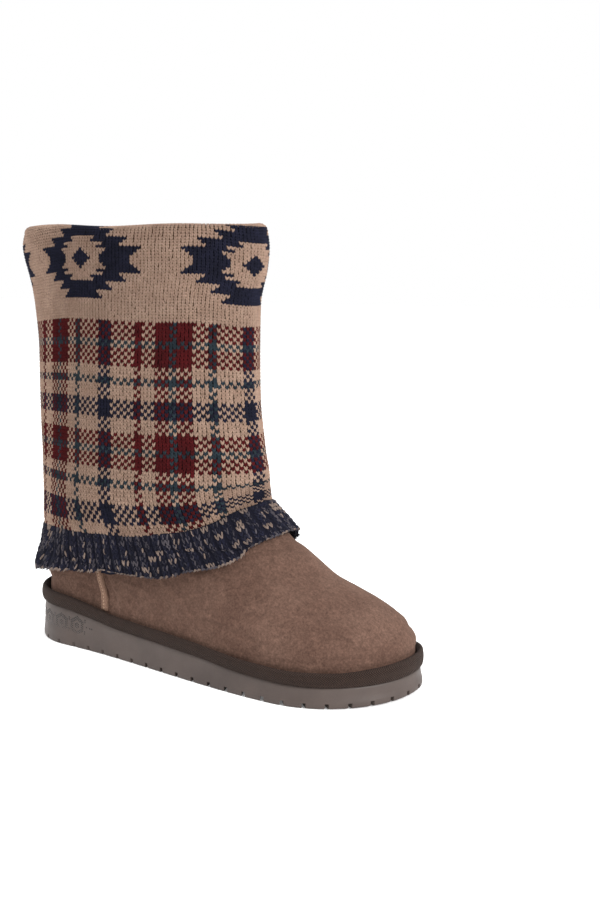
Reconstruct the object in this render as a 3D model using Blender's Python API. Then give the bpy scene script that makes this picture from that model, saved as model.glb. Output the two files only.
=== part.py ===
"""A right mukluk boot: suede foot on a notched rubber sole, with a knitted shaft cover.

Lengths are in millimetres until a mesh is made. Along the foot, x is 0 at the heel's
back and LENGTH at the toe tip; y is 0 on the foot's axis, plus to the inner side; z is 0
on the floor. The model's origin lies on the floor under the middle of the heel seat.

A place round the boot is its turn: 0 at the heel's back, 0.5 at the toe, the outer side
from 0 to 0.5 and the inner side from 0.5 to 1. A place up the upper is its level: 0 at
the sole and 1 at the collar.
"""
from math import pi

import bpy
import numpy as np

MM = 0.001

# Sole
LENGTH = 275.0
HEEL_WIDTH = 74.5
BALL_OUTER = 51.5
BALL_INNER = 50.0
WAIST_HOLLOW = 7.0
TOE_TURN = 7.0
INNER_BALL_BACK = 0.05
TOE_SPRING = 0.8
SPRING_START = 0.78
SOLE_AT_HEEL = 25.3
SOLE_AT_TOE = 12.3
SOLE_FLARE = 1.4
FLARE_BEND = (0.35, 0.45)
EDGE_ROUND = 1.1
NOTCH_PITCH = 13.2
NOTCH_WIDTH = 2.2
NOTCH_HEIGHT = 3.2
NOTCH_REACH = 11.0
FIRST_NOTCH = 0.25

# Binding round the sole's top edge
BINDING_HEIGHT = 8.5
BINDING_WIDTH = 4.4
BINDING_OVERHANG = 1.8

# Upper
WALL = 2.4
INSTEP_RISE = 55.7
SHAFT_RISE = 187.0
SHAFT_DEPTH = 163.0
SHAFT_WIDTH = 85.0
BACK_LINE = 3.0

# Pieces on the upper
KNIT = 3.2
TURN_IN = 45.0
RIB_WIDTH = 24.5
RIB_DEPTH = 1.3
RIB_THICKNESS = 3.8
HEM_FLARE = 6.5
SLACK = 2.2
FLARE_FALL = 1.4
STRIP_WIDTH = 5.4
STRIP_HEIGHT = 1.5
STRIP_PLACE = 79.0
STRIP_UNDER_HEM = 8.0
INSOLE_THICKNESS = 4.0
INSOLE_DISH = 1.2
INSOLE_RIM = 20.0

GAP = 0.3

# Steps of the meshes
COLUMNS = 60
RIB_COLUMNS = 2 * COLUMNS
ARC_STEPS = 40
DENSE_TURNS = 240
DENSE_LEVELS = 170

HEEL_HALF = HEEL_WIDTH / 2
SHAFT_HALF = SHAFT_WIDTH / 2
BINDING_INSET = BINDING_WIDTH - BINDING_OVERHANG
OUTER, INNER = -1, 1

# How the top of the sole falls from heel to toe:
# share of the length, share of the drop still left
SOLE_DROP = np.array([
    (0.00, 1.00),
    (0.12, 0.96),
    (0.22, 0.74),
    (0.32, 0.50),
    (0.45, 0.40),
    (0.58, 0.29),
    (0.70, 0.08),
    (0.85, 0.00),
    (1.00, 0.02),
])

# The upper's sections from the sole to the collar. Each runs from a point on the back
# line to a point on the front line.
#   back      inset of the back point, share of BACK_LINE
#   back_low  height of the back point, share of INSTEP_RISE
#   back_top  the same, share of SHAFT_RISE
#   front     place of the front point between shaft front (0) and toe tip (1)
#   front_low, front_top   height of the front point, as for the back
#   lip       height of both, share of the binding's full height
#   inset     share of the inset that clears the binding
#   heel, ball, shaft      half widths, shares of heel, ball and shaft
#   heel_end, ball_start   ends of the straight side, shares of the section's length
#   power     roundness of the ends, 2 for an ellipse
#   foot      how much it turns like a foot: toe turn, waist and seat line
COLUMN_NAMES = ("back back_low back_top front front_low front_top lip inset "
                "heel ball shaft heel_end ball_start power foot").split()
SECTIONS = np.array([
    (0.00, 0.000, 0.000,  1.000, 0.000, 0.000, 0.0, 1.00, 1.000, 1.000, 0.000, 0.143, 0.761, 2.13, 1.00),
    (0.25, 0.000, 0.000,  0.998, 0.000, 0.000, 1.0, 1.05, 0.995, 1.000, 0.000, 0.143, 0.761, 2.13, 1.00),
    (0.20, 0.096, 0.000,  1.000, 0.098, 0.000, 1.0, 1.00, 0.990, 1.000, 0.000, 0.143, 0.761, 2.13, 1.00),
    (0.10, 0.184, 0.000,  0.968, 0.198, 0.000, 1.0, 1.00, 0.985, 0.985, 0.000, 0.145, 0.750, 2.12, 0.95),
    (0.00, 0.264, 0.000,  0.907, 0.298, 0.000, 1.0, 0.80, 0.975, 0.955, 0.000, 0.150, 0.735, 2.15, 0.88),
    (0.00, 0.344, 0.000,  0.810, 0.416, 0.000, 1.0, 0.60, 0.960, 0.900, 0.000, 0.160, 0.710, 2.10, 0.75),
    (0.13, 0.433, 0.000,  0.665, 0.547, 0.000, 1.0, 0.40, 0.920, 0.820, 0.020, 0.180, 0.680, 2.05, 0.60),
    (0.02, 0.539, 0.000,  0.456, 0.733, 0.000, 1.0, 0.20, 0.600, 0.530, 0.320, 0.225, 0.640, 2.00, 0.42),
    (-0.04, 0.663, 0.000,  0.279, 0.941, 0.000, 1.0, 0.00, 0.350, 0.300, 0.560, 0.290, 0.600, 2.00, 0.25),
    (-0.16, 0.805, 0.000,  0.139, 1.000, 0.055, 1.0, 0.00, 0.150, 0.140, 0.770, 0.370, 0.560, 2.00, 0.12),
    (-0.18, 1.000, 0.000,  0.050, 1.000, 0.112, 1.0, 0.00, 0.050, 0.050, 0.890, 0.440, 0.530, 2.00, 0.04),
    (-0.06, 1.000, 0.082,  0.008, 1.000, 0.190, 1.0, 0.00, 0.000, 0.000, 0.965, 0.480, 0.510, 2.00, 0.00),
    (0.32, 1.000, 0.203, -0.003, 1.000, 0.298, 1.0, 0.00, 0.000, 0.000, 0.985, 0.500, 0.500, 2.00, 0.00),
    (0.60, 1.000, 0.368, -0.033, 1.000, 0.446, 1.0, 0.00, 0.000, 0.000, 1.000, 0.500, 0.500, 2.00, 0.00),
    (0.60, 1.000, 0.544, -0.043, 1.000, 0.611, 1.0, 0.00, 0.000, 0.000, 1.000, 0.500, 0.500, 2.00, 0.00),
    (-0.15, 1.000, 0.709, -0.036, 1.000, 0.765, 1.0, 0.00, 0.000, 0.000, 1.010, 0.500, 0.500, 2.00, 0.00),
    (-1.35, 1.000, 0.841,  0.005, 1.000, 0.891, 1.0, 0.00, 0.000, 0.000, 1.025, 0.500, 0.500, 2.00, 0.00),
    (-1.85, 1.000, 0.951,  0.009, 1.000, 1.000, 1.0, 0.00, 0.000, 0.000, 1.020, 0.500, 0.500, 2.00, 0.00),
])
LAST_SECTION = len(SECTIONS) - 1
SLEEVE_LEVELS = np.array([11, 12, 13, 15, 16, 17]) / LAST_SECTION
UPPER_LEVELS = np.concatenate((np.arange(11) / LAST_SECTION, SLEEVE_LEVELS))

# The rib from the heel's back (0) to the instep (1): share of the way round, its lower
# edge's share of the rise from back to front, how far it stands off as a share of
# HEM_FLARE, and its height as a share of RIB_WIDTH
HEM = np.array([
    (0.00, 0.00, 1.00, 1.10),
    (0.16, 0.12, 1.00, 1.06),
    (0.40, 0.29, 0.85, 0.93),
    (0.55, 0.37, 0.77, 0.90),
    (0.64, 0.46, 0.69, 0.87),
    (0.73, 0.55, 0.54, 0.84),
    (0.82, 0.70, 0.40, 0.82),
    (0.92, 0.92, 0.31, 0.80),
    (1.00, 1.00, 0.28, 0.80),
])
# Heights of the rib's lower edge over the binding, as shares of INSTEP_RISE
HEM_BACK = 0.21
HEM_FRONT = 1.05

# The binding's height along the foot: share of the length, share of its height
BINDING_SWELL = np.array([
    (0.00, 1.20),
    (0.18, 1.16),
    (0.30, 1.00),
    (0.90, 1.00),
    (1.00, 1.30),
])
# Height of the suede's lower bulge, as a share of the binding's height
LIP_CLEAR = 1.34

# The binding's profile: share of its width from the inner face, share of its height
BINDING_PROFILE = (
    (0.00, 0.00),
    (0.80, 0.00),
    (0.97, 0.22),
    (1.00, 0.62),
    (0.84, 0.92),
    (0.45, 1.00),
    (0.00, 0.88),
)


def curve(table, at):
    """A smooth line through a table's first two columns that never overshoots them."""
    xs, ys = table[:, 0], table[:, 1]
    step = np.diff(xs)
    rise = np.diff(ys) / step
    slope = np.zeros(len(xs))
    slope[0], slope[-1] = rise[0], rise[-1]
    product = rise[:-1] * rise[1:]
    same_way = product > 0
    slope[1:-1][same_way] = (2 * product / (rise[:-1] + rise[1:] + 1e-12))[same_way]
    at = np.asarray(at, float)
    row = np.clip(np.searchsorted(xs, at, side="right") - 1, 0, len(xs) - 2)
    t = np.clip((at - xs[row]) / step[row], 0, 1)
    return (ys[row] * (1 - t) ** 2 * (1 + 2 * t) + ys[row + 1] * t ** 2 * (3 - 2 * t)
            + step[row] * t * (1 - t) * (slope[row] * (1 - t) - slope[row + 1] * t))


def seat(x):
    """Height of the sole's top face."""
    return SOLE_AT_TOE + (SOLE_AT_HEEL - SOLE_AT_TOE) * curve(SOLE_DROP, x / LENGTH)


def ground(x):
    """Height of the sole's tread: flat, then rising to the toe spring."""
    along = (x / LENGTH - SPRING_START) / (1 - SPRING_START)
    return TOE_SPRING * np.clip(along, 0, 1.1) ** 2


def binding_height(x):
    return BINDING_HEIGHT * curve(BINDING_SWELL, x / LENGTH)


def half_outline(side, back, front, heel, ball, heel_end, ball_start, power, foot):
    """One side of a section seen from above, as points from back to front."""
    t = np.linspace(0, pi / 2, ARC_STEPS)
    sine, cosine = np.sin(t) ** (2 / power), np.cos(t) ** (2 / power)
    length = front - back
    if side == INNER:
        ball_start = ball_start - INNER_BALL_BACK * foot
    x_heel = back + length * heel_end
    x_ball = back + length * max(ball_start, heel_end)
    s = np.linspace(0, 1, ARC_STEPS)
    waist = WAIST_HOLLOW * foot * np.sin(pi * s) ** 2 * (side == INNER)
    x = np.concatenate((
        back + (x_heel - back) * (1 - cosine),
        x_heel + (x_ball - x_heel) * s,
        x_ball + (front - x_ball) * sine))
    y = np.concatenate((
        heel * sine,
        heel + (ball - heel) * s * s * (3 - 2 * s) - waist,
        ball * cosine))
    turn = np.concatenate((0 * t, 0 * s, sine ** 2))
    return x, side * y + TOE_TURN * foot * turn


def spread(x, y, shares):
    """Points at the given shares of a line's own length."""
    walked = np.concatenate(([0], np.cumsum(np.hypot(np.diff(x), np.diff(y)))))
    at = np.asarray(shares) * walked[-1]
    return np.interp(at, walked, x), np.interp(at, walked, y), walked[-1]


def ring(turns, **section):
    """A whole section at the given turns, and the lengths of its two sides."""
    turns = np.asarray(turns, float) % 1
    x, y = np.zeros(len(turns)), np.zeros(len(turns))
    outer = turns < 0.5
    lengths = []
    for side, here, shares in ((OUTER, outer, 2 * turns), (INNER, ~outer, 2 - 2 * turns)):
        line = half_outline(side, **{k: v[side] if isinstance(v, dict) else v
                                     for k, v in section.items()})
        x[here], y[here], length = spread(*line, shares[here])
        lengths.append(length)
    return x, y, lengths


def sole_section(outset):
    """The sole's own outline, grown by outset."""
    row = dict(zip(COLUMN_NAMES, SECTIONS[0]))
    return dict(back=-outset, front=LENGTH + outset, heel=HEEL_HALF + outset,
                ball={OUTER: BALL_OUTER + outset, INNER: BALL_INNER + outset},
                heel_end=row["heel_end"], ball_start=row["ball_start"],
                power=row["power"], foot=1.0)


def upper_row(step):
    """The table's values at a step, which may lie between two rows."""
    steps = np.arange(len(SECTIONS))
    return {name: float(curve(np.column_stack((steps, SECTIONS[:, i])), step))
            for i, name in enumerate(COLUMN_NAMES)}


def upper_ring(turns, step):
    """One closed ring of the upper's outer face."""
    row = upper_row(step)
    inset = row["inset"] * (BINDING_INSET + GAP)
    shaft_front = BACK_LINE + SHAFT_DEPTH
    back = row["back"] * BACK_LINE + inset
    front = shaft_front + row["front"] * (LENGTH - shaft_front) - inset
    shaft = row["shaft"] * SHAFT_HALF
    x, y, _ = ring(
        turns, back=back, front=front, heel=row["heel"] * HEEL_HALF + shaft - inset,
        ball={OUTER: row["ball"] * BALL_OUTER + shaft - inset,
              INNER: row["ball"] * BALL_INNER + shaft - inset},
        heel_end=row["heel_end"], ball_start=row["ball_start"], power=row["power"],
        foot=row["foot"])
    lip = row["lip"] * LIP_CLEAR * BINDING_HEIGHT + GAP
    z_back = (seat(back) + lip + row["back_low"] * INSTEP_RISE
              + row["back_top"] * SHAFT_RISE)
    z_front = (seat(front) + lip + row["front_low"] * INSTEP_RISE
               + row["front_top"] * SHAFT_RISE)
    along = (x - back) / (front - back)
    seat_bow = seat(x) - seat(back) - (seat(front) - seat(back)) * along
    z = z_back + (z_front - z_back) * along + seat_bow * row["foot"]
    return np.stack((x, y, z), axis=1)


class OuterFace:
    """The upper's outer face as a fine grid, with its normals, to place pieces on."""

    def __init__(self):
        self.turns = np.arange(DENSE_TURNS) / DENSE_TURNS
        self.levels = np.linspace(0, 1, DENSE_LEVELS)
        self.grid = np.array([upper_ring(self.turns, level * LAST_SECTION)
                              for level in self.levels])
        round_it = np.roll(self.grid, -1, axis=1) - np.roll(self.grid, 1, axis=1)
        normals = np.cross(np.gradient(self.grid, axis=0), round_it)
        normals /= np.linalg.norm(normals, axis=2, keepdims=True)
        out = normals[..., 0] * (self.grid[..., 0] - self.grid[..., 0].mean(axis=1)[:, None])
        self.normals = normals if out.mean() > 0 else -normals
        climb = np.linalg.norm(np.diff(self.grid, axis=0), axis=2)
        self.climb = np.concatenate((np.zeros((1, DENSE_TURNS)), np.cumsum(climb, axis=0)))

    def read(self, values, turns, levels):
        """Values of the grid between its lines."""
        a = (np.asarray(turns, float) % 1) * DENSE_TURNS
        b = np.clip(np.asarray(levels, float), 0, 1) * (DENSE_LEVELS - 1)
        i = a.astype(int)
        j = np.minimum(b.astype(int), DENSE_LEVELS - 2)
        s, t = a - i, b - j
        if values.ndim == 3:
            s, t = s[:, None], t[:, None]
        i %= DENSE_TURNS
        k = (i + 1) % DENSE_TURNS
        low = values[j, i] * (1 - s) + values[j, k] * s
        high = values[j + 1, i] * (1 - s) + values[j + 1, k] * s
        return low * (1 - t) + high * t

    def points(self, turns, levels, offset):
        turns = np.asarray(turns, float)
        levels = np.broadcast_to(levels, turns.shape)
        normals = self.read(self.normals, turns, levels)
        normals /= np.linalg.norm(normals, axis=1, keepdims=True)
        offset = np.broadcast_to(offset, turns.shape)[:, None]
        return self.read(self.grid, turns, levels) + normals * offset

    def level_where(self, values, turns, wanted):
        """For each turn, the level at which a rising value reaches the wanted one."""
        found = []
        for turn, want in zip(turns, np.broadcast_to(wanted, len(turns))):
            column = self.read(values, np.full(DENSE_LEVELS, turn), self.levels)
            found.append(np.interp(want, column, self.levels))
        return np.array(found)

    def level_at_height(self, turns, z):
        return self.level_where(self.grid[..., 2], turns, z)

    def level_at_climb(self, turns, climb):
        return self.level_where(self.climb, turns, climb)

    def climb_at(self, turns, levels):
        return self.read(self.climb, turns, np.broadcast_to(levels, len(turns)))


def even_turns(count):
    return np.arange(count) / count


def way_round(turns):
    """0 at the heel's back to 1 at the toe, on both sides."""
    return 1 - np.abs(1 - 2 * (np.asarray(turns) % 1))


def hem_height(turns):
    """Height of the rib's lower edge."""
    lip = LIP_CLEAR * BINDING_HEIGHT
    low = seat(0.0) + lip + HEM_BACK * INSTEP_RISE
    high = seat(BACK_LINE + SHAFT_DEPTH) + lip + HEM_FRONT * INSTEP_RISE
    return low + (high - low) * curve(HEM, way_round(turns))


def hem_levels(face, turns):
    """Where the rib's lower edge lies on the upper."""
    return face.level_at_height(turns, hem_height(turns))


def rib_top_levels(face, turns):
    """Where the rib meets the knitting."""
    rise = RIB_WIDTH * curve(HEM[:, [0, 3]], way_round(turns))
    return face.level_at_height(turns, hem_height(turns) + rise)


def hem_stand_off(turns):
    return curve(HEM[:, [0, 2]], way_round(turns)) * HEM_FLARE


def ankle_slack(turns):
    """Slack of the knitting at the ankle, most over the instep."""
    return SLACK * (0.3 + 0.7 * np.clip((way_round(turns) - 0.45) / 0.55, 0, 1) ** 1.5)


def loft(rings, closed):
    """Faces between rings of equal count; closed joins the last ring to the first."""
    count, columns = len(rings), len(rings[0])
    faces = []
    for r in range(count if closed else count - 1):
        a, b = r * columns, ((r + 1) % count) * columns
        for c in range(columns):
            d = (c + 1) % columns
            faces.append((a + c, a + d, b + d, b + c))
    return np.concatenate(rings), faces


def cap(first, columns):
    """Faces across a ring, from its outer side to its inner side."""
    faces = [(first, first + 1, first + columns - 1)]
    for c in range(1, columns // 2 - 1):
        faces.append((first + c, first + c + 1, first + columns - c - 1, first + columns - c))
    middle = first + columns // 2
    faces.append((middle - 1, middle, middle + 1))
    return faces


def material(name, colour, roughness):
    made = bpy.data.materials.new(name)
    made.use_nodes = True
    shader = made.node_tree.nodes["Principled BSDF"]
    shader.inputs["Base Color"].default_value = (*colour, 1.0)
    shader.inputs["Roughness"].default_value = roughness
    shader.inputs["Metallic"].default_value = 0.0
    return made


def add_piece(name, points, faces, finish, smooth_angle=0.7):
    """A mesh object in metres, with its faces pointing out."""
    points = (np.asarray(points) - (HEEL_HALF, 0, 0)) * MM
    mesh = bpy.data.meshes.new(name)
    mesh.from_pydata(points.tolist(), [], faces)
    mesh.validate()
    corners = points[np.array([p for f in faces for p in (f[0], f[1], f[2])])]
    corners = corners.reshape(-1, 3, 3)
    if len(faces[0]) == 4:
        other = [p for f in faces if len(f) > 3 for i in range(3, len(f))
                 for p in (f[0], f[i - 1], f[i])]
        corners = np.concatenate((corners, points[np.array(other)].reshape(-1, 3, 3)))
    volume = np.einsum("ij,ij->i", corners[:, 0], np.cross(corners[:, 1], corners[:, 2]))
    if volume.sum() < 0:
        mesh.flip_normals()
    mesh.materials.append(finish)
    mesh.shade_smooth()
    mesh.set_sharp_from_angle(angle=smooth_angle)
    piece = bpy.data.objects.new(name, mesh)
    bpy.context.scene.collection.objects.link(piece)
    return piece


def sole_ring(turns, outset, height_of):
    x, y, _ = ring(turns, **sole_section(outset))
    return np.stack((x, y, height_of(x)), axis=1)


def notch_turns():
    """Turns of the two edges of each notch, evenly spaced along the sole's edge."""
    _, _, (outer, inner) = ring([0.0], **sole_section(0.0))
    count = round((outer + inner) / NOTCH_PITCH)
    pitch = (outer + inner) / count
    middles = (np.arange(count) + FIRST_NOTCH) * pitch
    edges = np.sort(np.concatenate((middles - NOTCH_WIDTH / 2, middles + NOTCH_WIDTH / 2)))
    on_outer = edges < outer
    return np.where(on_outer, edges / outer / 2, 0.5 + (edges - outer) / inner / 2)


def make_outsole(finish):
    turns = notch_turns()
    columns = len(turns)
    bend_out, bend_up = FLARE_BEND
    rings = [
        sole_ring(turns, 0, seat),
        sole_ring(turns, SOLE_FLARE * bend_out, lambda x: ground(x) + seat(x) * bend_up),
        sole_ring(turns, SOLE_FLARE, lambda x: ground(x) + NOTCH_HEIGHT),
        sole_ring(turns, SOLE_FLARE, lambda x: ground(x) + EDGE_ROUND),
        sole_ring(turns, SOLE_FLARE - EDGE_ROUND, ground),
        sole_ring(turns, -NOTCH_REACH, ground),
        sole_ring(turns, -NOTCH_REACH, lambda x: ground(x) + NOTCH_HEIGHT),
    ]
    top, middle, notch_top, low, bottom, reach, notch_end = (
        np.arange(columns) + i * columns for i in range(len(rings)))
    faces = []
    for c in range(columns):
        d = (c + 1) % columns
        faces.append((top[c], top[d], middle[d], middle[c]))
        faces.append((middle[c], middle[d], notch_top[d], notch_top[c]))
        if c % 2 == 0:
            faces.append((notch_top[c], notch_top[d], notch_end[d], notch_end[c]))
            faces.append((notch_end[c], notch_end[d], reach[d], reach[c]))
            faces.append((notch_top[c], notch_end[c], reach[c], bottom[c], low[c]))
            faces.append((notch_top[d], low[d], bottom[d], reach[d], notch_end[d]))
        else:
            faces.append((notch_top[c], notch_top[d], low[d], low[c]))
            faces.append((low[c], low[d], bottom[d], bottom[c]))
            faces.append((bottom[c], bottom[d], reach[d], reach[c]))
    faces += [face[::-1] for face in cap(0, columns)]
    faces += cap(reach[0], columns)
    faces = [tuple(int(p) for p in face) for face in faces]
    return add_piece("outsole", np.concatenate(rings), faces, finish, 0.5)


def make_binding(finish):
    turns = even_turns(COLUMNS)
    rings = []
    for across, up in BINDING_PROFILE:
        outset = across * BINDING_WIDTH - BINDING_INSET
        rings.append(sole_ring(turns, outset, lambda x: seat(x) + GAP
                               + up * (binding_height(x) - GAP)))
    return add_piece("binding", *loft(rings, closed=True), finish)


def make_upper(face, finish):
    turns = even_turns(COLUMNS)
    outside = [face.points(turns, level, 0) for level in UPPER_LEVELS]
    inside = [face.points(turns, level, -WALL) for level in UPPER_LEVELS[::-1]]
    for line in (outside[0], inside[-1]):
        line[:, 2] = seat(line[:, 0]) + GAP
    return add_piece("upper", *loft(outside + inside, closed=True), finish)


def make_insole(face, finish):
    turns = even_turns(COLUMNS)
    base = face.points(turns, 0, -WALL - GAP)
    side = face.points(turns, face.level_at_height(
        turns, seat(base[:, 0]) + GAP + INSOLE_THICKNESS), -WALL - GAP)
    dish = face.points(turns, 0, -WALL - INSOLE_RIM)
    base[:, 2] = seat(base[:, 0]) + GAP
    side[:, 2] = seat(side[:, 0]) + GAP + INSOLE_THICKNESS
    dish[:, 2] = seat(dish[:, 0]) + GAP + INSOLE_THICKNESS - INSOLE_DISH
    points, faces = loft([base, side, dish], closed=False)
    faces += [face[::-1] for face in cap(0, COLUMNS)]
    faces += cap(2 * COLUMNS, COLUMNS)
    return add_piece("insole", points, faces, finish)


def make_rib_hem(face, finish):
    """A ribbed band, loose at its lower edge and drawn in where it meets the knitting."""
    turns = even_turns(RIB_COLUMNS)
    start = face.climb_at(turns, hem_levels(face, turns))
    end = face.climb_at(turns, rib_top_levels(face, turns))
    ridge = RIB_DEPTH * (np.arange(RIB_COLUMNS) % 2)

    def ring_at(up, depth):
        levels = face.level_at_climb(turns, start + up * (end - start))
        off = GAP + ankle_slack(turns) + hem_stand_off(turns) * (1 - up) ** FLARE_FALL
        return face.points(turns, levels, off + depth)

    outer_thickness = RIB_THICKNESS - ridge
    rings = [
        ring_at(0.00, 0.35 * RIB_THICKNESS),
        ring_at(0.05, outer_thickness),
        ring_at(0.50, outer_thickness),
        ring_at(1.00, outer_thickness - 0.3),
        ring_at(1.00, 0),
        ring_at(0.50, 0),
        ring_at(0.04, 0),
    ]
    return add_piece("rib_hem", *loft(rings, closed=True), finish, 1.2)


def make_knit_sleeve(face, finish):
    """The knitting up the shaft, over the collar and down inside it."""
    turns = even_turns(COLUMNS)
    climb = face.climb_at(turns, rib_top_levels(face, turns)) + 2 * GAP
    low = face.level_at_climb(turns, climb)
    high = face.climb_at(turns, 1.0)
    collar = face.points(turns, 1.0, 0)
    inward = face.points(turns, 1.0, -1) - collar

    def ring_at(levels, depth):
        up = (levels - low) / (1 - low)
        off = GAP + ankle_slack(turns) * (1 - up) ** 3
        return face.points(turns, levels, off + depth)

    def over_collar(across, rise):
        points = collar + inward * across
        points[:, 2] = collar[:, 2] + rise
        return points

    def inside(down, depth):
        levels = face.level_at_climb(turns, high - down * TURN_IN)
        return face.points(turns, levels, -depth)

    fold_half = KNIT + GAP + WALL / 2
    fold_middle = WALL / 2
    layer = WALL + GAP
    climbing = [low, (low + SLEEVE_LEVELS[0]) / 2] + list(SLEEVE_LEVELS)
    rings = [ring_at(levels, KNIT) for levels in climbing]
    for angle in np.radians((30, 75, 115, 160)):
        rings.append(over_collar(fold_middle - fold_half * np.cos(angle),
                                 (KNIT + GAP) * np.sin(angle) + GAP))
    rings += [inside(0.2, layer + KNIT), inside(0.6, layer + KNIT), inside(1, layer + KNIT)]
    rings += [inside(1, layer), inside(0.5, layer)]
    rings += [over_collar(layer, GAP), over_collar(-GAP, GAP)]
    rings += [ring_at(levels, 0) for levels in climbing[-2::-1]]
    return add_piece("knit_sleeve", *loft(rings, closed=True), finish)


def make_seam_strip(name, side, face, finish):
    """The raised strip over a side seam, from the binding up to under the rib."""
    turns = np.linspace(0, 0.5, 400) if side == OUTER else np.linspace(1, 0.5, 400)
    level = face.level_at_height([turns[100]], seat(STRIP_PLACE) + 2 * BINDING_HEIGHT)[0]
    line = face.points(turns, level, 0)
    turn = float(np.interp(STRIP_PLACE, line[:, 0], turns))
    around = np.linalg.norm(line[101] - line[100]) / abs(turns[101] - turns[100])
    base_z = seat(STRIP_PLACE) + binding_height(STRIP_PLACE) + GAP
    low = face.climb_at([turn], face.level_at_height([turn], base_z))[0]
    high = face.climb_at([turn], hem_levels(face, [turn]))[0] + STRIP_UNDER_HEM
    half = STRIP_WIDTH / 2 / around
    rings = []
    for up in np.linspace(0, 1, 6):
        across = turn + half * np.array([-1, -0.75, -0.3, 0.3, 0.75, 1, 0])
        rise = GAP + STRIP_HEIGHT * np.array([0, 0.7, 1, 1, 0.7, 0, 0])
        levels = face.level_at_climb(across, low + up * (high - low))
        rings.append(face.points(across, levels, rise))
    columns = len(rings[0])
    points, faces = loft(rings, closed=False)
    last = (len(rings) - 1) * columns
    faces.append(tuple(range(columns))[::-1])
    faces.append(tuple(range(last, last + columns)))
    return add_piece(name, points, faces, finish)


def main():
    for old in list(bpy.data.objects):
        bpy.data.objects.remove(old)
    suede = material("suede", (0.17, 0.105, 0.075), 0.9)
    rubber = material("rubber", (0.12, 0.10, 0.09), 0.75)
    ribbon = material("ribbon", (0.035, 0.025, 0.02), 0.85)
    knit = material("knit", (0.42, 0.30, 0.23), 0.95)
    marl = material("marl", (0.03, 0.032, 0.06), 0.95)
    lining = material("lining", (0.38, 0.30, 0.24), 0.95)
    face = OuterFace()
    make_outsole(rubber)
    make_binding(ribbon)
    make_upper(face, suede)
    make_insole(face, lining)
    make_seam_strip("seam_strip_lateral", OUTER, face, suede)
    make_seam_strip("seam_strip_medial", INNER, face, suede)
    make_knit_sleeve(face, knit)
    make_rib_hem(face, marl)


main()
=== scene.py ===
"""Looks of the right mukluk boot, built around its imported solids.

Lengths are in millimetres until a mesh is made, in the source's own frame: x is 0 at the
heel's back, y is plus to the inner side and z is 0 on the floor. A place round the boot is
its turn: 0 at the heel's back, 0.5 at the toe, the outer side from 0 to 0.5. A place up
the upper is its level: 0 at the sole and 1 at the collar.
"""
from math import pi, radians

import bpy
import numpy as np
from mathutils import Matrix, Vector


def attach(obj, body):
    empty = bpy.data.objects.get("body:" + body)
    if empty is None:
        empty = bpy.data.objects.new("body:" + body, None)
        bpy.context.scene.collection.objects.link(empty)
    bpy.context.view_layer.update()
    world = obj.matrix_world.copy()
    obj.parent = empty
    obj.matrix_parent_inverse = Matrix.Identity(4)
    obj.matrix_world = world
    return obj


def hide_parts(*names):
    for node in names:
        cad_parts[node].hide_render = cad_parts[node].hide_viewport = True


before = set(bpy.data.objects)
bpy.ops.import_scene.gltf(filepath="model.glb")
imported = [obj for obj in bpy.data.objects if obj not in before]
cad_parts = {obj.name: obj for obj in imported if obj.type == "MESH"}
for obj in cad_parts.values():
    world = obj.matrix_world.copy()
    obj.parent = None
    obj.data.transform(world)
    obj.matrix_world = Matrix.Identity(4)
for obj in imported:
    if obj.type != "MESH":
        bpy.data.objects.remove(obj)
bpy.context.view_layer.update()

MM = 0.001

# Sizes of the solids
LENGTH = 275.0
HEEL_WIDTH = 74.5
BALL_OUTER = 51.5
BALL_INNER = 50.0
WAIST_HOLLOW = 7.0
TOE_TURN = 7.0
INNER_BALL_BACK = 0.05
TOE_SPRING = 0.8
SPRING_START = 0.78
SOLE_AT_HEEL = 25.3
SOLE_AT_TOE = 12.3
SOLE_FLARE = 1.4
FLARE_BEND = (0.35, 0.45)
EDGE_ROUND = 1.1
NOTCH_PITCH = 13.2
NOTCH_WIDTH = 2.2
NOTCH_HEIGHT = 3.2
NOTCH_REACH = 11.0
FIRST_NOTCH = 0.25
BINDING_HEIGHT = 8.5
BINDING_WIDTH = 4.4
BINDING_OVERHANG = 1.8
WALL = 2.4
INSTEP_RISE = 55.7
SHAFT_RISE = 187.0
SHAFT_DEPTH = 163.0
SHAFT_WIDTH = 85.0
BACK_LINE = 3.0
KNIT = 3.2
TURN_IN = 45.0
RIB_WIDTH = 24.5
RIB_THICKNESS = 3.8
HEM_FLARE = 6.5
SLACK = 2.2
FLARE_FALL = 1.4
STRIP_WIDTH = 5.4
STRIP_HEIGHT = 1.5
STRIP_PLACE = 79.0
STRIP_UNDER_HEM = 8.0
INSOLE_THICKNESS = 4.0
INSOLE_DISH = 1.2
GAP = 0.3
LIP_CLEAR = 1.34
HEM_BACK = 0.21
HEM_FRONT = 1.05
ARC_STEPS = 40
DENSE_TURNS = 480
DENSE_LEVELS = 341
HEEL_HALF = HEEL_WIDTH / 2
SHAFT_HALF = SHAFT_WIDTH / 2
BINDING_INSET = BINDING_WIDTH - BINDING_OVERHANG
OUTER, INNER = -1, 1

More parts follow.
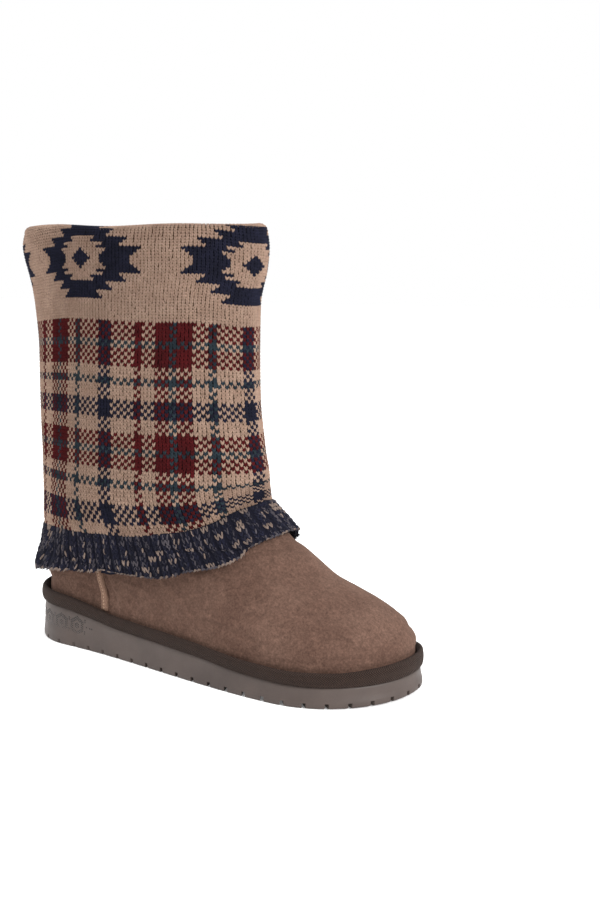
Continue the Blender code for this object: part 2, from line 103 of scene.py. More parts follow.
SOLE_DROP = np.array([
    (0.00, 1.00), (0.12, 0.96), (0.22, 0.74), (0.32, 0.50), (0.45, 0.40),
    (0.58, 0.29), (0.70, 0.08), (0.85, 0.00), (1.00, 0.02),
])
COLUMN_NAMES = ("back back_low back_top front front_low front_top lip inset "
                "heel ball shaft heel_end ball_start power foot").split()
SECTIONS = np.array([
    (0.00, 0.000, 0.000, 1.000, 0.000, 0.000, 0.0, 1.00, 1.000, 1.000, 0.000, 0.143, 0.761, 2.13, 1.00),
    (0.25, 0.000, 0.000, 0.998, 0.000, 0.000, 1.0, 1.05, 0.995, 1.000, 0.000, 0.143, 0.761, 2.13, 1.00),
    (0.20, 0.096, 0.000, 1.000, 0.098, 0.000, 1.0, 1.00, 0.990, 1.000, 0.000, 0.143, 0.761, 2.13, 1.00),
    (0.10, 0.184, 0.000, 0.968, 0.198, 0.000, 1.0, 1.00, 0.985, 0.985, 0.000, 0.145, 0.750, 2.12, 0.95),
    (0.00, 0.264, 0.000, 0.907, 0.298, 0.000, 1.0, 0.80, 0.975, 0.955, 0.000, 0.150, 0.735, 2.15, 0.88),
    (0.00, 0.344, 0.000, 0.810, 0.416, 0.000, 1.0, 0.60, 0.960, 0.900, 0.000, 0.160, 0.710, 2.10, 0.75),
    (0.13, 0.433, 0.000, 0.665, 0.547, 0.000, 1.0, 0.40, 0.920, 0.820, 0.020, 0.180, 0.680, 2.05, 0.60),
    (0.02, 0.539, 0.000, 0.456, 0.733, 0.000, 1.0, 0.20, 0.600, 0.530, 0.320, 0.225, 0.640, 2.00, 0.42),
    (-0.04, 0.663, 0.000, 0.279, 0.941, 0.000, 1.0, 0.00, 0.350, 0.300, 0.560, 0.290, 0.600, 2.00, 0.25),
    (-0.16, 0.805, 0.000, 0.139, 1.000, 0.055, 1.0, 0.00, 0.150, 0.140, 0.770, 0.370, 0.560, 2.00, 0.12),
    (-0.18, 1.000, 0.000, 0.050, 1.000, 0.112, 1.0, 0.00, 0.050, 0.050, 0.890, 0.440, 0.530, 2.00, 0.04),
    (-0.06, 1.000, 0.082, 0.008, 1.000, 0.190, 1.0, 0.00, 0.000, 0.000, 0.965, 0.480, 0.510, 2.00, 0.00),
    (0.32, 1.000, 0.203, -0.003, 1.000, 0.298, 1.0, 0.00, 0.000, 0.000, 0.985, 0.500, 0.500, 2.00, 0.00),
    (0.60, 1.000, 0.368, -0.033, 1.000, 0.446, 1.0, 0.00, 0.000, 0.000, 1.000, 0.500, 0.500, 2.00, 0.00),
    (0.60, 1.000, 0.544, -0.043, 1.000, 0.611, 1.0, 0.00, 0.000, 0.000, 1.000, 0.500, 0.500, 2.00, 0.00),
    (-0.15, 1.000, 0.709, -0.036, 1.000, 0.765, 1.0, 0.00, 0.000, 0.000, 1.010, 0.500, 0.500, 2.00, 0.00),
    (-1.35, 1.000, 0.841, 0.005, 1.000, 0.891, 1.0, 0.00, 0.000, 0.000, 1.025, 0.500, 0.500, 2.00, 0.00),
    (-1.85, 1.000, 0.951, 0.009, 1.000, 1.000, 1.0, 0.00, 0.000, 0.000, 1.020, 0.500, 0.500, 2.00, 0.00),
])
LAST_SECTION = len(SECTIONS) - 1
HEM = np.array([
    (0.00, 0.00, 1.00, 1.10), (0.16, 0.12, 1.00, 1.06), (0.40, 0.29, 0.85, 0.93),
    (0.55, 0.37, 0.77, 0.90), (0.64, 0.46, 0.69, 0.87), (0.73, 0.55, 0.54, 0.84),
    (0.82, 0.70, 0.40, 0.82), (0.92, 0.92, 0.31, 0.80), (1.00, 1.00, 0.28, 0.80),
])
BINDING_SWELL = np.array([
    (0.00, 1.20), (0.18, 1.16), (0.30, 1.00), (0.90, 1.00), (1.00, 1.30),
])


def curve(table, at):
    """A smooth line through a table's first two columns that never overshoots them."""
    xs, ys = table[:, 0], table[:, 1]
    step = np.diff(xs)
    rise = np.diff(ys) / step
    slope = np.zeros(len(xs))
    slope[0], slope[-1] = rise[0], rise[-1]
    product = rise[:-1] * rise[1:]
    same_way = product > 0
    slope[1:-1][same_way] = (2 * product / (rise[:-1] + rise[1:] + 1e-12))[same_way]
    at = np.asarray(at, float)
    row = np.clip(np.searchsorted(xs, at, side="right") - 1, 0, len(xs) - 2)
    t = np.clip((at - xs[row]) / step[row], 0, 1)
    return (ys[row] * (1 - t) ** 2 * (1 + 2 * t) + ys[row + 1] * t ** 2 * (3 - 2 * t)
            + step[row] * t * (1 - t) * (slope[row] * (1 - t) - slope[row + 1] * t))


def seat(x):
    """Height of the sole's top face."""
    return SOLE_AT_TOE + (SOLE_AT_HEEL - SOLE_AT_TOE) * curve(SOLE_DROP, x / LENGTH)


def ground(x):
    """Height of the sole's tread."""
    along = (x / LENGTH - SPRING_START) / (1 - SPRING_START)
    return TOE_SPRING * np.clip(along, 0, 1.1) ** 2


def binding_height(x):
    return BINDING_HEIGHT * curve(BINDING_SWELL, x / LENGTH)


def half_outline(side, back, front, heel, ball, heel_end, ball_start, power, foot):
    """One side of a section seen from above, as points from back to front."""
    t = np.linspace(0, pi / 2, ARC_STEPS)
    sine, cosine = np.sin(t) ** (2 / power), np.cos(t) ** (2 / power)
    length = front - back
    if side == INNER:
        ball_start = ball_start - INNER_BALL_BACK * foot
    x_heel = back + length * heel_end
    x_ball = back + length * max(ball_start, heel_end)
    s = np.linspace(0, 1, ARC_STEPS)
    waist = WAIST_HOLLOW * foot * np.sin(pi * s) ** 2 * (side == INNER)
    x = np.concatenate((
        back + (x_heel - back) * (1 - cosine),
        x_heel + (x_ball - x_heel) * s,
        x_ball + (front - x_ball) * sine))
    y = np.concatenate((
        heel * sine,
        heel + (ball - heel) * s * s * (3 - 2 * s) - waist,
        ball * cosine))
    turn = np.concatenate((0 * t, 0 * s, sine ** 2))
    return x, side * y + TOE_TURN * foot * turn


def spread(x, y, shares):
    """Points at the given shares of a line's own length."""
    walked = np.concatenate(([0], np.cumsum(np.hypot(np.diff(x), np.diff(y)))))
    at = np.asarray(shares) * walked[-1]
    return np.interp(at, walked, x), np.interp(at, walked, y), walked[-1]


def ring(turns, **section):
    """A whole section at the given turns, and the lengths of its two sides."""
    turns = np.asarray(turns, float) % 1
    x, y = np.zeros(len(turns)), np.zeros(len(turns))
    outer = turns < 0.5
    lengths = []
    for side, here, shares in ((OUTER, outer, 2 * turns), (INNER, ~outer, 2 - 2 * turns)):
        line = half_outline(side, **{k: v[side] if isinstance(v, dict) else v
                                     for k, v in section.items()})
        x[here], y[here], length = spread(*line, shares[here])
        lengths.append(length)
    return x, y, lengths


def sole_section(outset):
    """The sole's own outline, grown by outset."""
    row = dict(zip(COLUMN_NAMES, SECTIONS[0]))
    return dict(back=-outset, front=LENGTH + outset, heel=HEEL_HALF + outset,
                ball={OUTER: BALL_OUTER + outset, INNER: BALL_INNER + outset},
                heel_end=row["heel_end"], ball_start=row["ball_start"],
                power=row["power"], foot=1.0)


def sole_ring(turns, outset, height_of):
    x, y, _ = ring(turns, **sole_section(outset))
    return np.stack((x, y, height_of(x)), axis=1)


def upper_row(step):
    """The table's values at a step, which may lie between two rows."""
    steps = np.arange(len(SECTIONS))
    return {name: float(curve(np.column_stack((steps, SECTIONS[:, i])), step))
            for i, name in enumerate(COLUMN_NAMES)}


def upper_ring(turns, step):
    """One closed ring of the upper's outer face."""
    row = upper_row(step)
    inset = row["inset"] * (BINDING_INSET + GAP)
    shaft_front = BACK_LINE + SHAFT_DEPTH
    back = row["back"] * BACK_LINE + inset
    front = shaft_front + row["front"] * (LENGTH - shaft_front) - inset
    shaft = row["shaft"] * SHAFT_HALF
    x, y, _ = ring(
        turns, back=back, front=front, heel=row["heel"] * HEEL_HALF + shaft - inset,
        ball={OUTER: row["ball"] * BALL_OUTER + shaft - inset,
              INNER: row["ball"] * BALL_INNER + shaft - inset},
        heel_end=row["heel_end"], ball_start=row["ball_start"], power=row["power"],
        foot=row["foot"])
    lip = row["lip"] * LIP_CLEAR * BINDING_HEIGHT + GAP
    z_back = (seat(back) + lip + row["back_low"] * INSTEP_RISE
              + row["back_top"] * SHAFT_RISE)
    z_front = (seat(front) + lip + row["front_low"] * INSTEP_RISE
               + row["front_top"] * SHAFT_RISE)
    along = (x - back) / (front - back)
    seat_bow = seat(x) - seat(back) - (seat(front) - seat(back)) * along
    z = z_back + (z_front - z_back) * along + seat_bow * row["foot"]
    return np.stack((x, y, z), axis=1)


class OuterFace:
    """The upper's outer face as a fine grid, with its normals, to place pieces on."""

    def __init__(self):
        self.turns = np.arange(DENSE_TURNS) / DENSE_TURNS
        self.levels = np.linspace(0, 1, DENSE_LEVELS)
        self.grid = np.array([upper_ring(self.turns, level * LAST_SECTION)
                              for level in self.levels])
        round_it = np.roll(self.grid, -1, axis=1) - np.roll(self.grid, 1, axis=1)
        normals = np.cross(np.gradient(self.grid, axis=0), round_it)
        normals /= np.linalg.norm(normals, axis=2, keepdims=True)
        out = normals[..., 0] * (self.grid[..., 0] - self.grid[..., 0].mean(axis=1)[:, None])
        self.normals = normals if out.mean() > 0 else -normals
        climb = np.linalg.norm(np.diff(self.grid, axis=0), axis=2)
        self.climb = np.concatenate((np.zeros((1, DENSE_TURNS)), np.cumsum(climb, axis=0)))

    def read(self, values, turns, levels):
        """Values of the grid between its lines."""
        a = (np.asarray(turns, float) % 1) * DENSE_TURNS
        b = np.clip(np.asarray(levels, float), 0, 1) * (DENSE_LEVELS - 1)
        i = a.astype(int)
        j = np.minimum(b.astype(int), DENSE_LEVELS - 2)
        s, t = a - i, b - j
        if values.ndim == 3:
            s, t = s[..., None], t[..., None]
        i %= DENSE_TURNS
        k = (i + 1) % DENSE_TURNS
        low = values[j, i] * (1 - s) + values[j, k] * s
        high = values[j + 1, i] * (1 - s) + values[j + 1, k] * s
        return low * (1 - t) + high * t

    def points(self, turns, levels, offset):
        turns = np.asarray(turns, float)
        levels = np.broadcast_to(levels, turns.shape)
        normals = self.read(self.normals, turns, levels)
        normals /= np.linalg.norm(normals, axis=-1, keepdims=True)
        offset = np.broadcast_to(offset, turns.shape)[..., None]
        return self.read(self.grid, turns, levels) + normals * offset

    def level_where(self, values, turns, wanted):
        """For each turn, the level at which a rising value reaches the wanted one."""
        found = []
        for turn, want in zip(turns, np.broadcast_to(wanted, len(turns))):
            column = self.read(values, np.full(DENSE_LEVELS, turn), self.levels)
            found.append(np.interp(want, column, self.levels))
        return np.array(found)

    def level_at_height(self, turns, z):
        return self.level_where(self.grid[..., 2], turns, z)

    def level_at_climb(self, turns, climb):
        return self.level_where(self.climb, turns, climb)

    def climb_at(self, turns, levels):
        return self.read(self.climb, turns, np.broadcast_to(levels, len(turns)))


def even_turns(count):
    return np.arange(count) / count


def way_round(turns):
    """0 at the heel's back to 1 at the toe, on both sides."""
    return 1 - np.abs(1 - 2 * (np.asarray(turns) % 1))


def hem_height(turns):
    """Height of the rib's lower edge."""
    lip = LIP_CLEAR * BINDING_HEIGHT
    low = seat(0.0) + lip + HEM_BACK * INSTEP_RISE
    high = seat(BACK_LINE + SHAFT_DEPTH) + lip + HEM_FRONT * INSTEP_RISE
    return low + (high - low) * curve(HEM, way_round(turns))


def rib_top_height(turns):
    return hem_height(turns) + RIB_WIDTH * curve(HEM[:, [0, 3]], way_round(turns))


def hem_stand_off(turns):
    return curve(HEM[:, [0, 2]], way_round(turns)) * HEM_FLARE


def ankle_slack(turns):
    """Slack of the knitting at the ankle, most over the instep."""
    return SLACK * (0.3 + 0.7 * np.clip((way_round(turns) - 0.45) / 0.55, 0, 1) ** 1.5)


def bell(x, middle, width):
    return np.exp(-((x - middle) / width) ** 2)


def ease(x, start, end):
    """0 before start, 1 after end and smooth between."""
    t = np.clip((x - start) / (end - start), 0, 1)
    return t * t * (3 - 2 * t)


# Materials

def linear(rgb):
    """Linear colour of an 8-bit screen colour."""
    c = np.array(rgb) / 255
    return tuple(np.where(c <= 0.04045, c / 12.92, ((c + 0.055) / 1.055) ** 2.4).tolist())


class Look:
    """A material with helpers for its nodes; lengths of its patterns are in millimetres."""

    def __init__(self, name, colour, roughness, specular=0.3, sheen=0.0, sheen_tint=None):
        self.made = bpy.data.materials.new(name)
        self.made.use_nodes = True
        self.tree = self.made.node_tree
        self.shader = self.tree.nodes["Principled BSDF"]
        self.shader.inputs["Base Color"].default_value = (*linear(colour), 1)
        self.shader.inputs["Roughness"].default_value = roughness
        self.shader.inputs["Specular IOR Level"].default_value = specular
        self.shader.inputs["Sheen Weight"].default_value = sheen
        self.shader.inputs["Sheen Roughness"].default_value = 0.5
        self.shader.inputs["Sheen Tint"].default_value = (*linear(sheen_tint or colour), 1)
        self.place = self.node("ShaderNodeTexCoord").outputs["Object"]
        self.normal = None

    def node(self, kind, **values):
        made = self.tree.nodes.new(kind)
        for key, value in values.items():
            if isinstance(key, str) and hasattr(made, key):
                setattr(made, key, value)
        return made

    def link(self, out, to):
        self.tree.links.new(out, to)

    def noise(self, size, detail=3.0, roughness=0.6, stretch=None):
        """Noise whose features are about size wide."""
        made = self.node("ShaderNodeTexNoise")
        made.inputs["Scale"].default_value = 1 / (size * MM)
        made.inputs["Detail"].default_value = detail
        made.inputs["Roughness"].default_value = roughness
        place = self.place
        if stretch:
            mapping = self.node("ShaderNodeMapping")
            mapping.inputs["Scale"].default_value = stretch
            self.link(place, mapping.inputs["Vector"])
            place = mapping.outputs["Vector"]
        self.link(place, made.inputs["Vector"])
        return made.outputs["Fac"]

    def ramp(self, fac, stops):
        """Colours or greys along a value: (place, 8-bit colour or grey share) pairs."""
        made = self.node("ShaderNodeValToRGB")
        band = made.color_ramp
        while len(band.elements) < len(stops):
            band.elements.new(0.5)
        for element, (at, value) in zip(band.elements, stops):
            element.position = at
            element.color = ((value,) * 3 if np.isscalar(value) else linear(value)) + (1,)
        self.link(fac, made.inputs["Fac"])
        return made.outputs["Color"]

    def mix(self, fac, a, b, blend="MIX"):
        made = self.node("ShaderNodeMix", data_type="RGBA", blend_type=blend)
        made.inputs["Factor"].default_value = 1.0
        for socket, value in ((made.inputs["Factor"], fac), (made.inputs[6], a), (made.inputs[7], b)):
            if isinstance(value, (int, float)):
                socket.default_value = value
            elif isinstance(value, tuple):
                socket.default_value = (*linear(value), 1)
            else:
                self.link(value, socket)
        return made.outputs[2]

    def math(self, operation, a, b=None, clamp=False):
        made = self.node("ShaderNodeMath", operation=operation, use_clamp=clamp)
        for socket, value in zip(made.inputs, (a, b)):
            if value is None:
                continue
            if isinstance(value, (int, float)):
                socket.default_value = value
            else:
                self.link(value, socket)
        return made.outputs["Value"]

    def uv(self):
        """The two parts of the surface's own coordinates, in millimetres."""
        split = self.node("ShaderNodeSeparateXYZ")
        self.link(self.node("ShaderNodeTexCoord").outputs["UV"], split.inputs["Vector"])
        return split.outputs["X"], split.outputs["Y"]

    def bump(self, height, depth, strength=1.0):
        made = self.node("ShaderNodeBump")
        made.inputs["Distance"].default_value = depth * MM
        made.inputs["Strength"].default_value = strength
        self.link(height, made.inputs["Height"])
        if self.normal is not None:
            self.link(self.normal, made.inputs["Normal"])
        self.normal = made.outputs["Normal"]
        self.link(self.normal, self.shader.inputs["Normal"])

    def paint(self, colour):
        self.link(colour, self.shader.inputs["Base Color"])

    def vary_roughness(self, value):
        self.link(value, self.shader.inputs["Roughness"])


def yarn(name, dark, light, sheen=0.35):
    """Soft brushed yarn: flecks along it, a plied twist and loose fibres."""
    look = Look(name, light, 0.95, specular=0.15, sheen=sheen, sheen_tint=light)
    wide = look.ramp(look.noise(9, 2), ((0.3, dark), (0.7, light)))
    flecks = look.ramp(look.noise(0.8, 2), ((0.3, 0.66), (0.7, 1.14)))
    look.paint(look.mix(1.0, wide, flecks, "MULTIPLY"))
    u, v = look.uv()
    twist = look.math("SINE", look.math("MULTIPLY", look.math("ADD", u, v), 2 * pi / 0.9))
    look.bump(twist, 0.10)
    look.bump(look.noise(0.28, 2), 0.22)
    return look.made


def make_looks():
    looks = {}
    suede = Look("suede", (96, 72, 62), 0.95, specular=0.1, sheen=0.3, sheen_tint=(150, 122, 106))
    clouds = suede.ramp(suede.noise(26, 3, 0.6), ((0.34, (81, 60, 51)), (0.66, (93, 71, 61))))
    brushed = suede.ramp(suede.noise(4.5, 5, 0.8), ((0.34, 0.76), (0.66, 1.16)))
    fibres = suede.ramp(suede.noise(1.4, 4, 0.8), ((0.34, 0.62), (0.66, 1.32)))
    suede.paint(suede.mix(1.0, suede.mix(1.0, clouds, brushed, "MULTIPLY"), fibres, "MULTIPLY"))
    suede.bump(suede.noise(7, 3), 0.35)
    suede.bump(suede.noise(0.8, 3, 0.7), 0.22)
    looks["suede"] = suede.made

    strip = Look("strip suede", (116, 90, 77), 0.95, specular=0.1, sheen=0.3, sheen_tint=(150, 122, 106))
    fibres = strip.ramp(strip.noise(0.9, 3, 0.7), ((0.3, (100, 77, 65)), (0.7, (136, 108, 92))))
    strip.paint(fibres)
    strip.bump(strip.noise(0.6, 3, 0.7), 0.25)
    looks["strip"] = strip.made

    thread = Look("thread", (170, 140, 118), 0.7, specular=0.3, sheen=0.2)
    thread.paint(thread.ramp(thread.noise(0.5, 2), ((0.3, (140, 112, 92)), (0.7, (182, 152, 130)))))
    thread.bump(thread.noise(0.3, 2), 0.08)
    looks["thread"] = thread.made

    ribbon = Look("ribbon", (55, 42, 36), 0.86, specular=0.2, sheen=0.15, sheen_tint=(90, 72, 62))
    u, v = ribbon.uv()
    folded = ribbon.math("ABSOLUTE", ribbon.math("SUBTRACT", ribbon.math("FRACT", ribbon.math("MULTIPLY", v, 1 / 5.2)), 0.5))
    slant = ribbon.math("ADD", u, ribbon.math("MULTIPLY", folded, 5.2 * 1.1))
    wave = ribbon.math("SINE", ribbon.math("MULTIPLY", slant, 2 * pi / 1.5))
    # The herringbone lines of the weave are darkened where the bump's grooves lie: painted shade in the grooves of
    # the weave
    weave_groove_shade = ribbon.ramp(ribbon.math("ADD", ribbon.math("MULTIPLY", wave, 0.5), 0.5),
                        ((0.1, (20, 14, 11)), (0.9, (58, 42, 35))))
    ribbon.paint(ribbon.mix(1.0, weave_groove_shade, ribbon.ramp(ribbon.noise(5, 3), ((0.3, 0.86), (0.7, 1.08))), "MULTIPLY"))
    ribbon.bump(wave, 0.28)
    ribbon.bump(ribbon.noise(0.35, 2), 0.08)
    looks["ribbon"] = ribbon.made

    rubber = Look("rubber", (92, 82, 78), 0.55, specular=0.35)
    clouds = rubber.ramp(rubber.noise(40, 3), ((0.35, (62, 52, 48)), (0.65, (73, 62, 57))))
    grain = rubber.ramp(rubber.noise(0.6, 2), ((0.3, 0.93), (0.7, 1.05)))
    rubber.paint(rubber.mix(1.0, clouds, grain, "MULTIPLY"))
    rubber.vary_roughness(rubber.ramp(rubber.noise(14, 3), ((0.3, 0.46), (0.7, 0.62))))
    rubber.bump(rubber.noise(0.5, 2), 0.05)
    rubber.bump(rubber.noise(9, 2), 0.12)
    looks["rubber"] = rubber.made

    # Painted shade: the raised dots are darker than the sole's rubber, standing for the shade of sunken moulded
    # dots
    dots = Look("shaded rubber dots", (38, 32, 30), 0.5, specular=0.3)
    dots.bump(dots.noise(0.5, 2), 0.04)
    looks["shaded rubber dots"] = dots.made

    tread = Look("tread rubber", (74, 66, 63), 0.7, specular=0.3)
    tread.paint(tread.ramp(tread.noise(12, 4), ((0.3, (66, 58, 55)), (0.7, (84, 76, 72)))))
    tread.bump(tread.noise(0.7, 3), 0.1)
    looks["tread"] = tread.made

    fleece = Look("fleece", (176, 152, 130), 1.0, specular=0.1, sheen=0.4, sheen_tint=(206, 186, 166))
    fleece.paint(fleece.ramp(fleece.noise(1.6, 4, 0.7), ((0.3, (150, 124, 104)), (0.7, (190, 166, 144)))))
    fleece.bump(fleece.noise(2.2, 4, 0.75), 0.9)
    fleece.bump(fleece.noise(0.4, 2), 0.2)
    looks["fleece"] = fleece.made

    looks["beige"] = yarn("beige yarn", (146, 120, 104), (164, 138, 121), sheen=0.25)
    looks["navy"] = yarn("navy yarn", (21, 22, 35), (31, 32, 49), sheen=0.1)
    looks["red"] = yarn("red yarn", (60, 11, 14), (80, 17, 20), sheen=0.08)
    looks["teal"] = yarn("teal yarn", (30, 38, 45), (46, 58, 65), sheen=0.1)
    looks["dark"] = yarn("dark yarn", (20, 20, 30), (32, 32, 46), sheen=0.15)
    looks["grey"] = yarn("grey yarn", (56, 53, 60), (84, 79, 84), sheen=0.2)
    looks["pale"] = yarn("pale yarn", (104, 90, 83), (142, 124, 113), sheen=0.2)
    # Sheets behind the stitches and the ribs, in colours darker than their yarns: painted shade in the gaps
    # between stitches and ribs
    for key, colour in (("beige shade sheet", (74, 55, 44)), ("navy shade sheet", (12, 12, 22)),
                        ("red shade sheet", (36, 8, 10)), ("teal shade sheet", (18, 24, 27)),
                        ("rib shade sheet", (22, 22, 33))):
        back = Look(key, colour, 1.0, specular=0.1)
        darker = tuple(int(0.72 * c) for c in colour)
        back.paint(back.ramp(back.noise(0.9, 3), ((0.3, darker), (0.7, colour))))
        back.bump(back.noise(0.6, 2), 0.3)
        looks[key] = back.made
    return looks


# Meshes

def grid_quads(rows, columns, close_rows=False, close_columns=True):
    """Quads of a grid whose points run along each row in turn."""
    r = np.arange(rows if close_rows else rows - 1)[:, None]
    c = np.arange(columns if close_columns else columns - 1)[None, :]
    r2, c2 = (r + 1) % rows, (c + 1) % columns
    quads = np.stack((r * columns + c, r * columns + c2, r2 * columns + c2, r2 * columns + c), axis=2)
    return quads.reshape(-1, 4)


def piece(name, points, faces, materials, index=None, uv=None, replaces=(), flip=False,
          sharp=None):
    """A mesh that rides on the boot; uv has a pair for each point, in millimetres."""
    points = (np.asarray(points, float).reshape(-1, 3) - (HEEL_HALF, 0, 0)) * MM
    if isinstance(faces, np.ndarray) and flip:
        faces = faces[:, ::-1]
    listed = faces.tolist() if isinstance(faces, np.ndarray) else [f[::-1] if flip else f for f in faces]
    mesh = bpy.data.meshes.new(name)
    mesh.from_pydata(points.tolist(), [], listed)
    for made in materials:
        mesh.materials.append(made)
    if index is not None:
        mesh.polygons.foreach_set("material_index", np.asarray(index, np.int32))
    if uv is not None:
        corners = np.zeros(len(mesh.loops), np.int32)
        mesh.loops.foreach_get("vertex_index", corners)
        layer = mesh.uv_layers.new(name="surface")
        layer.data.foreach_set("uv", np.asarray(uv, np.float32)[corners].ravel())
    mesh.shade_smooth()
    if sharp:
        mesh.set_sharp_from_angle(angle=sharp)
    mesh.update()
    made = bpy.data.objects.new(name, mesh)
    bpy.context.scene.collection.objects.link(made)
    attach(made, "root")
    if replaces:
        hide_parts(*replaces)
    return made


def along_rows(points):
    """Length walked along each row of a grid, for its surface coordinates."""
    step = np.linalg.norm(np.diff(points, axis=1), axis=2)
    return np.concatenate((np.zeros((len(points), 1)), np.cumsum(step, axis=1)), axis=1)


# Sole

WALL_ROWS = 14
TREAD_OUTSETS = (-11.0, -12.2, -17.5, -18.7, -24.0, -25.2, -30.5, -31.5)
TREAD_DEPTH = 1.4
DOT_PITCH = 1.5
ROSETTE_PITCH = 14.2
ROSETTES = (0.0, 14.2, 28.4, 42.6, 56.9, 71.1)


def sole_columns():
    """Turns round the sole with a close pair at each notch edge, and which lie in a notch."""
    _, _, (outer, inner) = ring([0.0], **sole_section(0.0))
    count = round((outer + inner) / NOTCH_PITCH)
    pitch = (outer + inner) / count
    spots, inside = [], []
    for i in range(count):
        middle = (i + FIRST_NOTCH) * pitch
        for at, is_in in ((-NOTCH_WIDTH / 2 - 0.12, 0), (-NOTCH_WIDTH / 2, 1), (0, 1),
                          (NOTCH_WIDTH / 2, 1), (NOTCH_WIDTH / 2 + 0.12, 0)):
            spots.append(middle + at)
            inside.append(is_in)
        for k in range(1, 9):
            spots.append(middle + NOTCH_WIDTH / 2 + (pitch - NOTCH_WIDTH) * k / 9)
            inside.append(0)
    spots, inside = np.array(spots) % (outer + inner), np.array(inside, bool)
    order = np.argsort(spots)
    spots, inside = spots[order], inside[order]
    turns = np.where(spots < outer, spots / outer / 2, 0.5 + (spots - outer) / inner / 2)
    return turns, inside, spots


def make_sole(looks):
    turns, inside, spots = sole_columns()
    bend_out, bend_up = FLARE_BEND
    shape = np.array([(0, 0.0), (1 - bend_up, SOLE_FLARE * bend_out), (1, SOLE_FLARE)])
    rows = []
    for k in range(WALL_ROWS):
        down = k / (WALL_ROWS - 1)
        soft = 0.5 * bell(down, 0, 0.05)
        outset = float(curve(shape, down)) - soft
        rows.append(sole_ring(turns, outset, lambda x: seat(x) + (ground(x) + NOTCH_HEIGHT - seat(x)) * down))
    here = inside[:, None]

    def either(in_notch, elsewhere):
        rows.append(np.where(here, in_notch, elsewhere))

    roof = [sole_ring(turns, SOLE_FLARE - (NOTCH_REACH + SOLE_FLARE) * s, lambda x: ground(x) + NOTCH_HEIGHT)
            for s in (0.02, 0.3, 0.6, 1.0)]
    for lift, out, covered in ((EDGE_ROUND, 0.0, roof[0]), (0.45, 0.22, roof[1]),
                               (0.12, 0.65, roof[2]), (0.0, EDGE_ROUND + 0.1, roof[3])):
        either(covered, sole_ring(turns, SOLE_FLARE - out, lambda x: ground(x) + lift))
    rows.append(sole_ring(turns, -NOTCH_REACH, ground))
    wall = len(rows) - 1
    for k, outset in enumerate(TREAD_OUTSETS[1:]):
        lift = TREAD_DEPTH if k % 4 in (1, 2) else 0.0
        rows.append(sole_ring(turns, outset, lambda x: ground(x) + lift * (1 - 0.0 * x)))
    rows.append(sole_ring(turns, -34.0, lambda x: ground(x) + 0.0))
    rows = np.array(rows)
    points = rows.reshape(-1, 3)
    quads = grid_quads(len(rows), len(turns))
    index = np.where(quads[:, 0] // len(turns) >= wall, 1, 0)
    faces = quads.tolist()
    columns = len(turns)
    last = (len(rows) - 1) * columns
    faces += across(last, columns, flip=False)
    faces += across(0, columns, flip=True)
    index = np.concatenate((index, np.ones(len(faces) - len(quads), int)))
    piece("sole", points, faces, [looks["rubber"], looks["tread"]], index=index,
          replaces=["outsole"], sharp=0.6)


def make_rosettes(looks):
    """Dotted rosettes moulded low on both sides of the heel."""
    centres = []
    for middle in ROSETTES:
        for reach in (1, 3, 4):
            for corner in range(6):
                a, b = np.radians(60 * corner + 30), np.radians(60 * corner + 90)
                for step in range(reach):
                    s = step / reach
                    x = reach * DOT_PITCH * (np.cos(a) * (1 - s) + np.cos(b) * s)
                    y = reach * DOT_PITCH * (np.sin(a) * (1 - s) + np.sin(b) * s)
                    centres.append((middle + x, y))
        centres.append((middle, 0.0))
        for y in (-4.6, -3.2, 3.2, 4.6):
            centres.append((middle + ROSETTE_PITCH / 2, y))
    last = ROSETTES[-1] + ROSETTE_PITCH / 2
    centres += [(last + 1.4, 0.0), (last + 4.4, -0.3), (last + 6.2, -0.3)]
    centres = np.array([c for c in centres if c[0] > 0.5])
    _, _, (outer, inner) = ring([0.0], **sole_section(0.0))
    points, around = [], 8
    for side, length in ((OUTER, outer), (INNER, inner)):
        for s, up in centres:
            for radius, lift in ((0.66, -0.05), (0.52, 0.26), (0.0, 0.36)):
                for a in np.linspace(0, 2 * pi, around, endpoint=False):
                    turn = (s + np.cos(a) * radius) / length / 2
                    turn = turn if side == OUTER else 1 - turn
                    height = 15.0 + up + np.sin(a) * radius
                    points.append((turn, height, lift))
    points = np.array(points)
    placed = sole_ring(points[:, 0], 0.0, seat)
    share = np.clip((placed[:, 2] - points[:, 1]) / (placed[:, 2] - NOTCH_HEIGHT), 0, 1)
    shape = np.array([(0, 0.0), (1 - FLARE_BEND[1], SOLE_FLARE * FLARE_BEND[0]), (1, SOLE_FLARE)])
    base = sole_ring(points[:, 0], 0.0, lambda x: 0 * x)
    out = sole_ring(points[:, 0], 1.0, lambda x: 0 * x)
    away = (out - base) / np.maximum(np.linalg.norm(out - base, axis=1), 1e-9)[:, None]
    placed = base + away * (curve(shape, share) + points[:, 2])[:, None]
    placed[:, 2] = points[:, 1]
    one = grid_quads(3, around)
    count = len(points) // (3 * around)
    quads = ((np.arange(count) * 3 * around)[:, None, None] + one[None]).reshape(-1, 4)
    piece("sole_rosettes", placed, quads, [looks["shaded rubber dots"]])


def across(first, columns, flip):
    """Faces across a ring, from its outer side to its inner side."""
    faces = []
    for c in range(columns // 2):
        a, b = c, c + 1
        d, e = (columns - c) % columns, columns - c - 1
        face = [a, b, e, d] if a != d else [a, b, e]
        face = list(dict.fromkeys(face))
        if len(face) > 2:
            faces.append([first + p for p in (face[::-1] if flip else face)])
    return faces


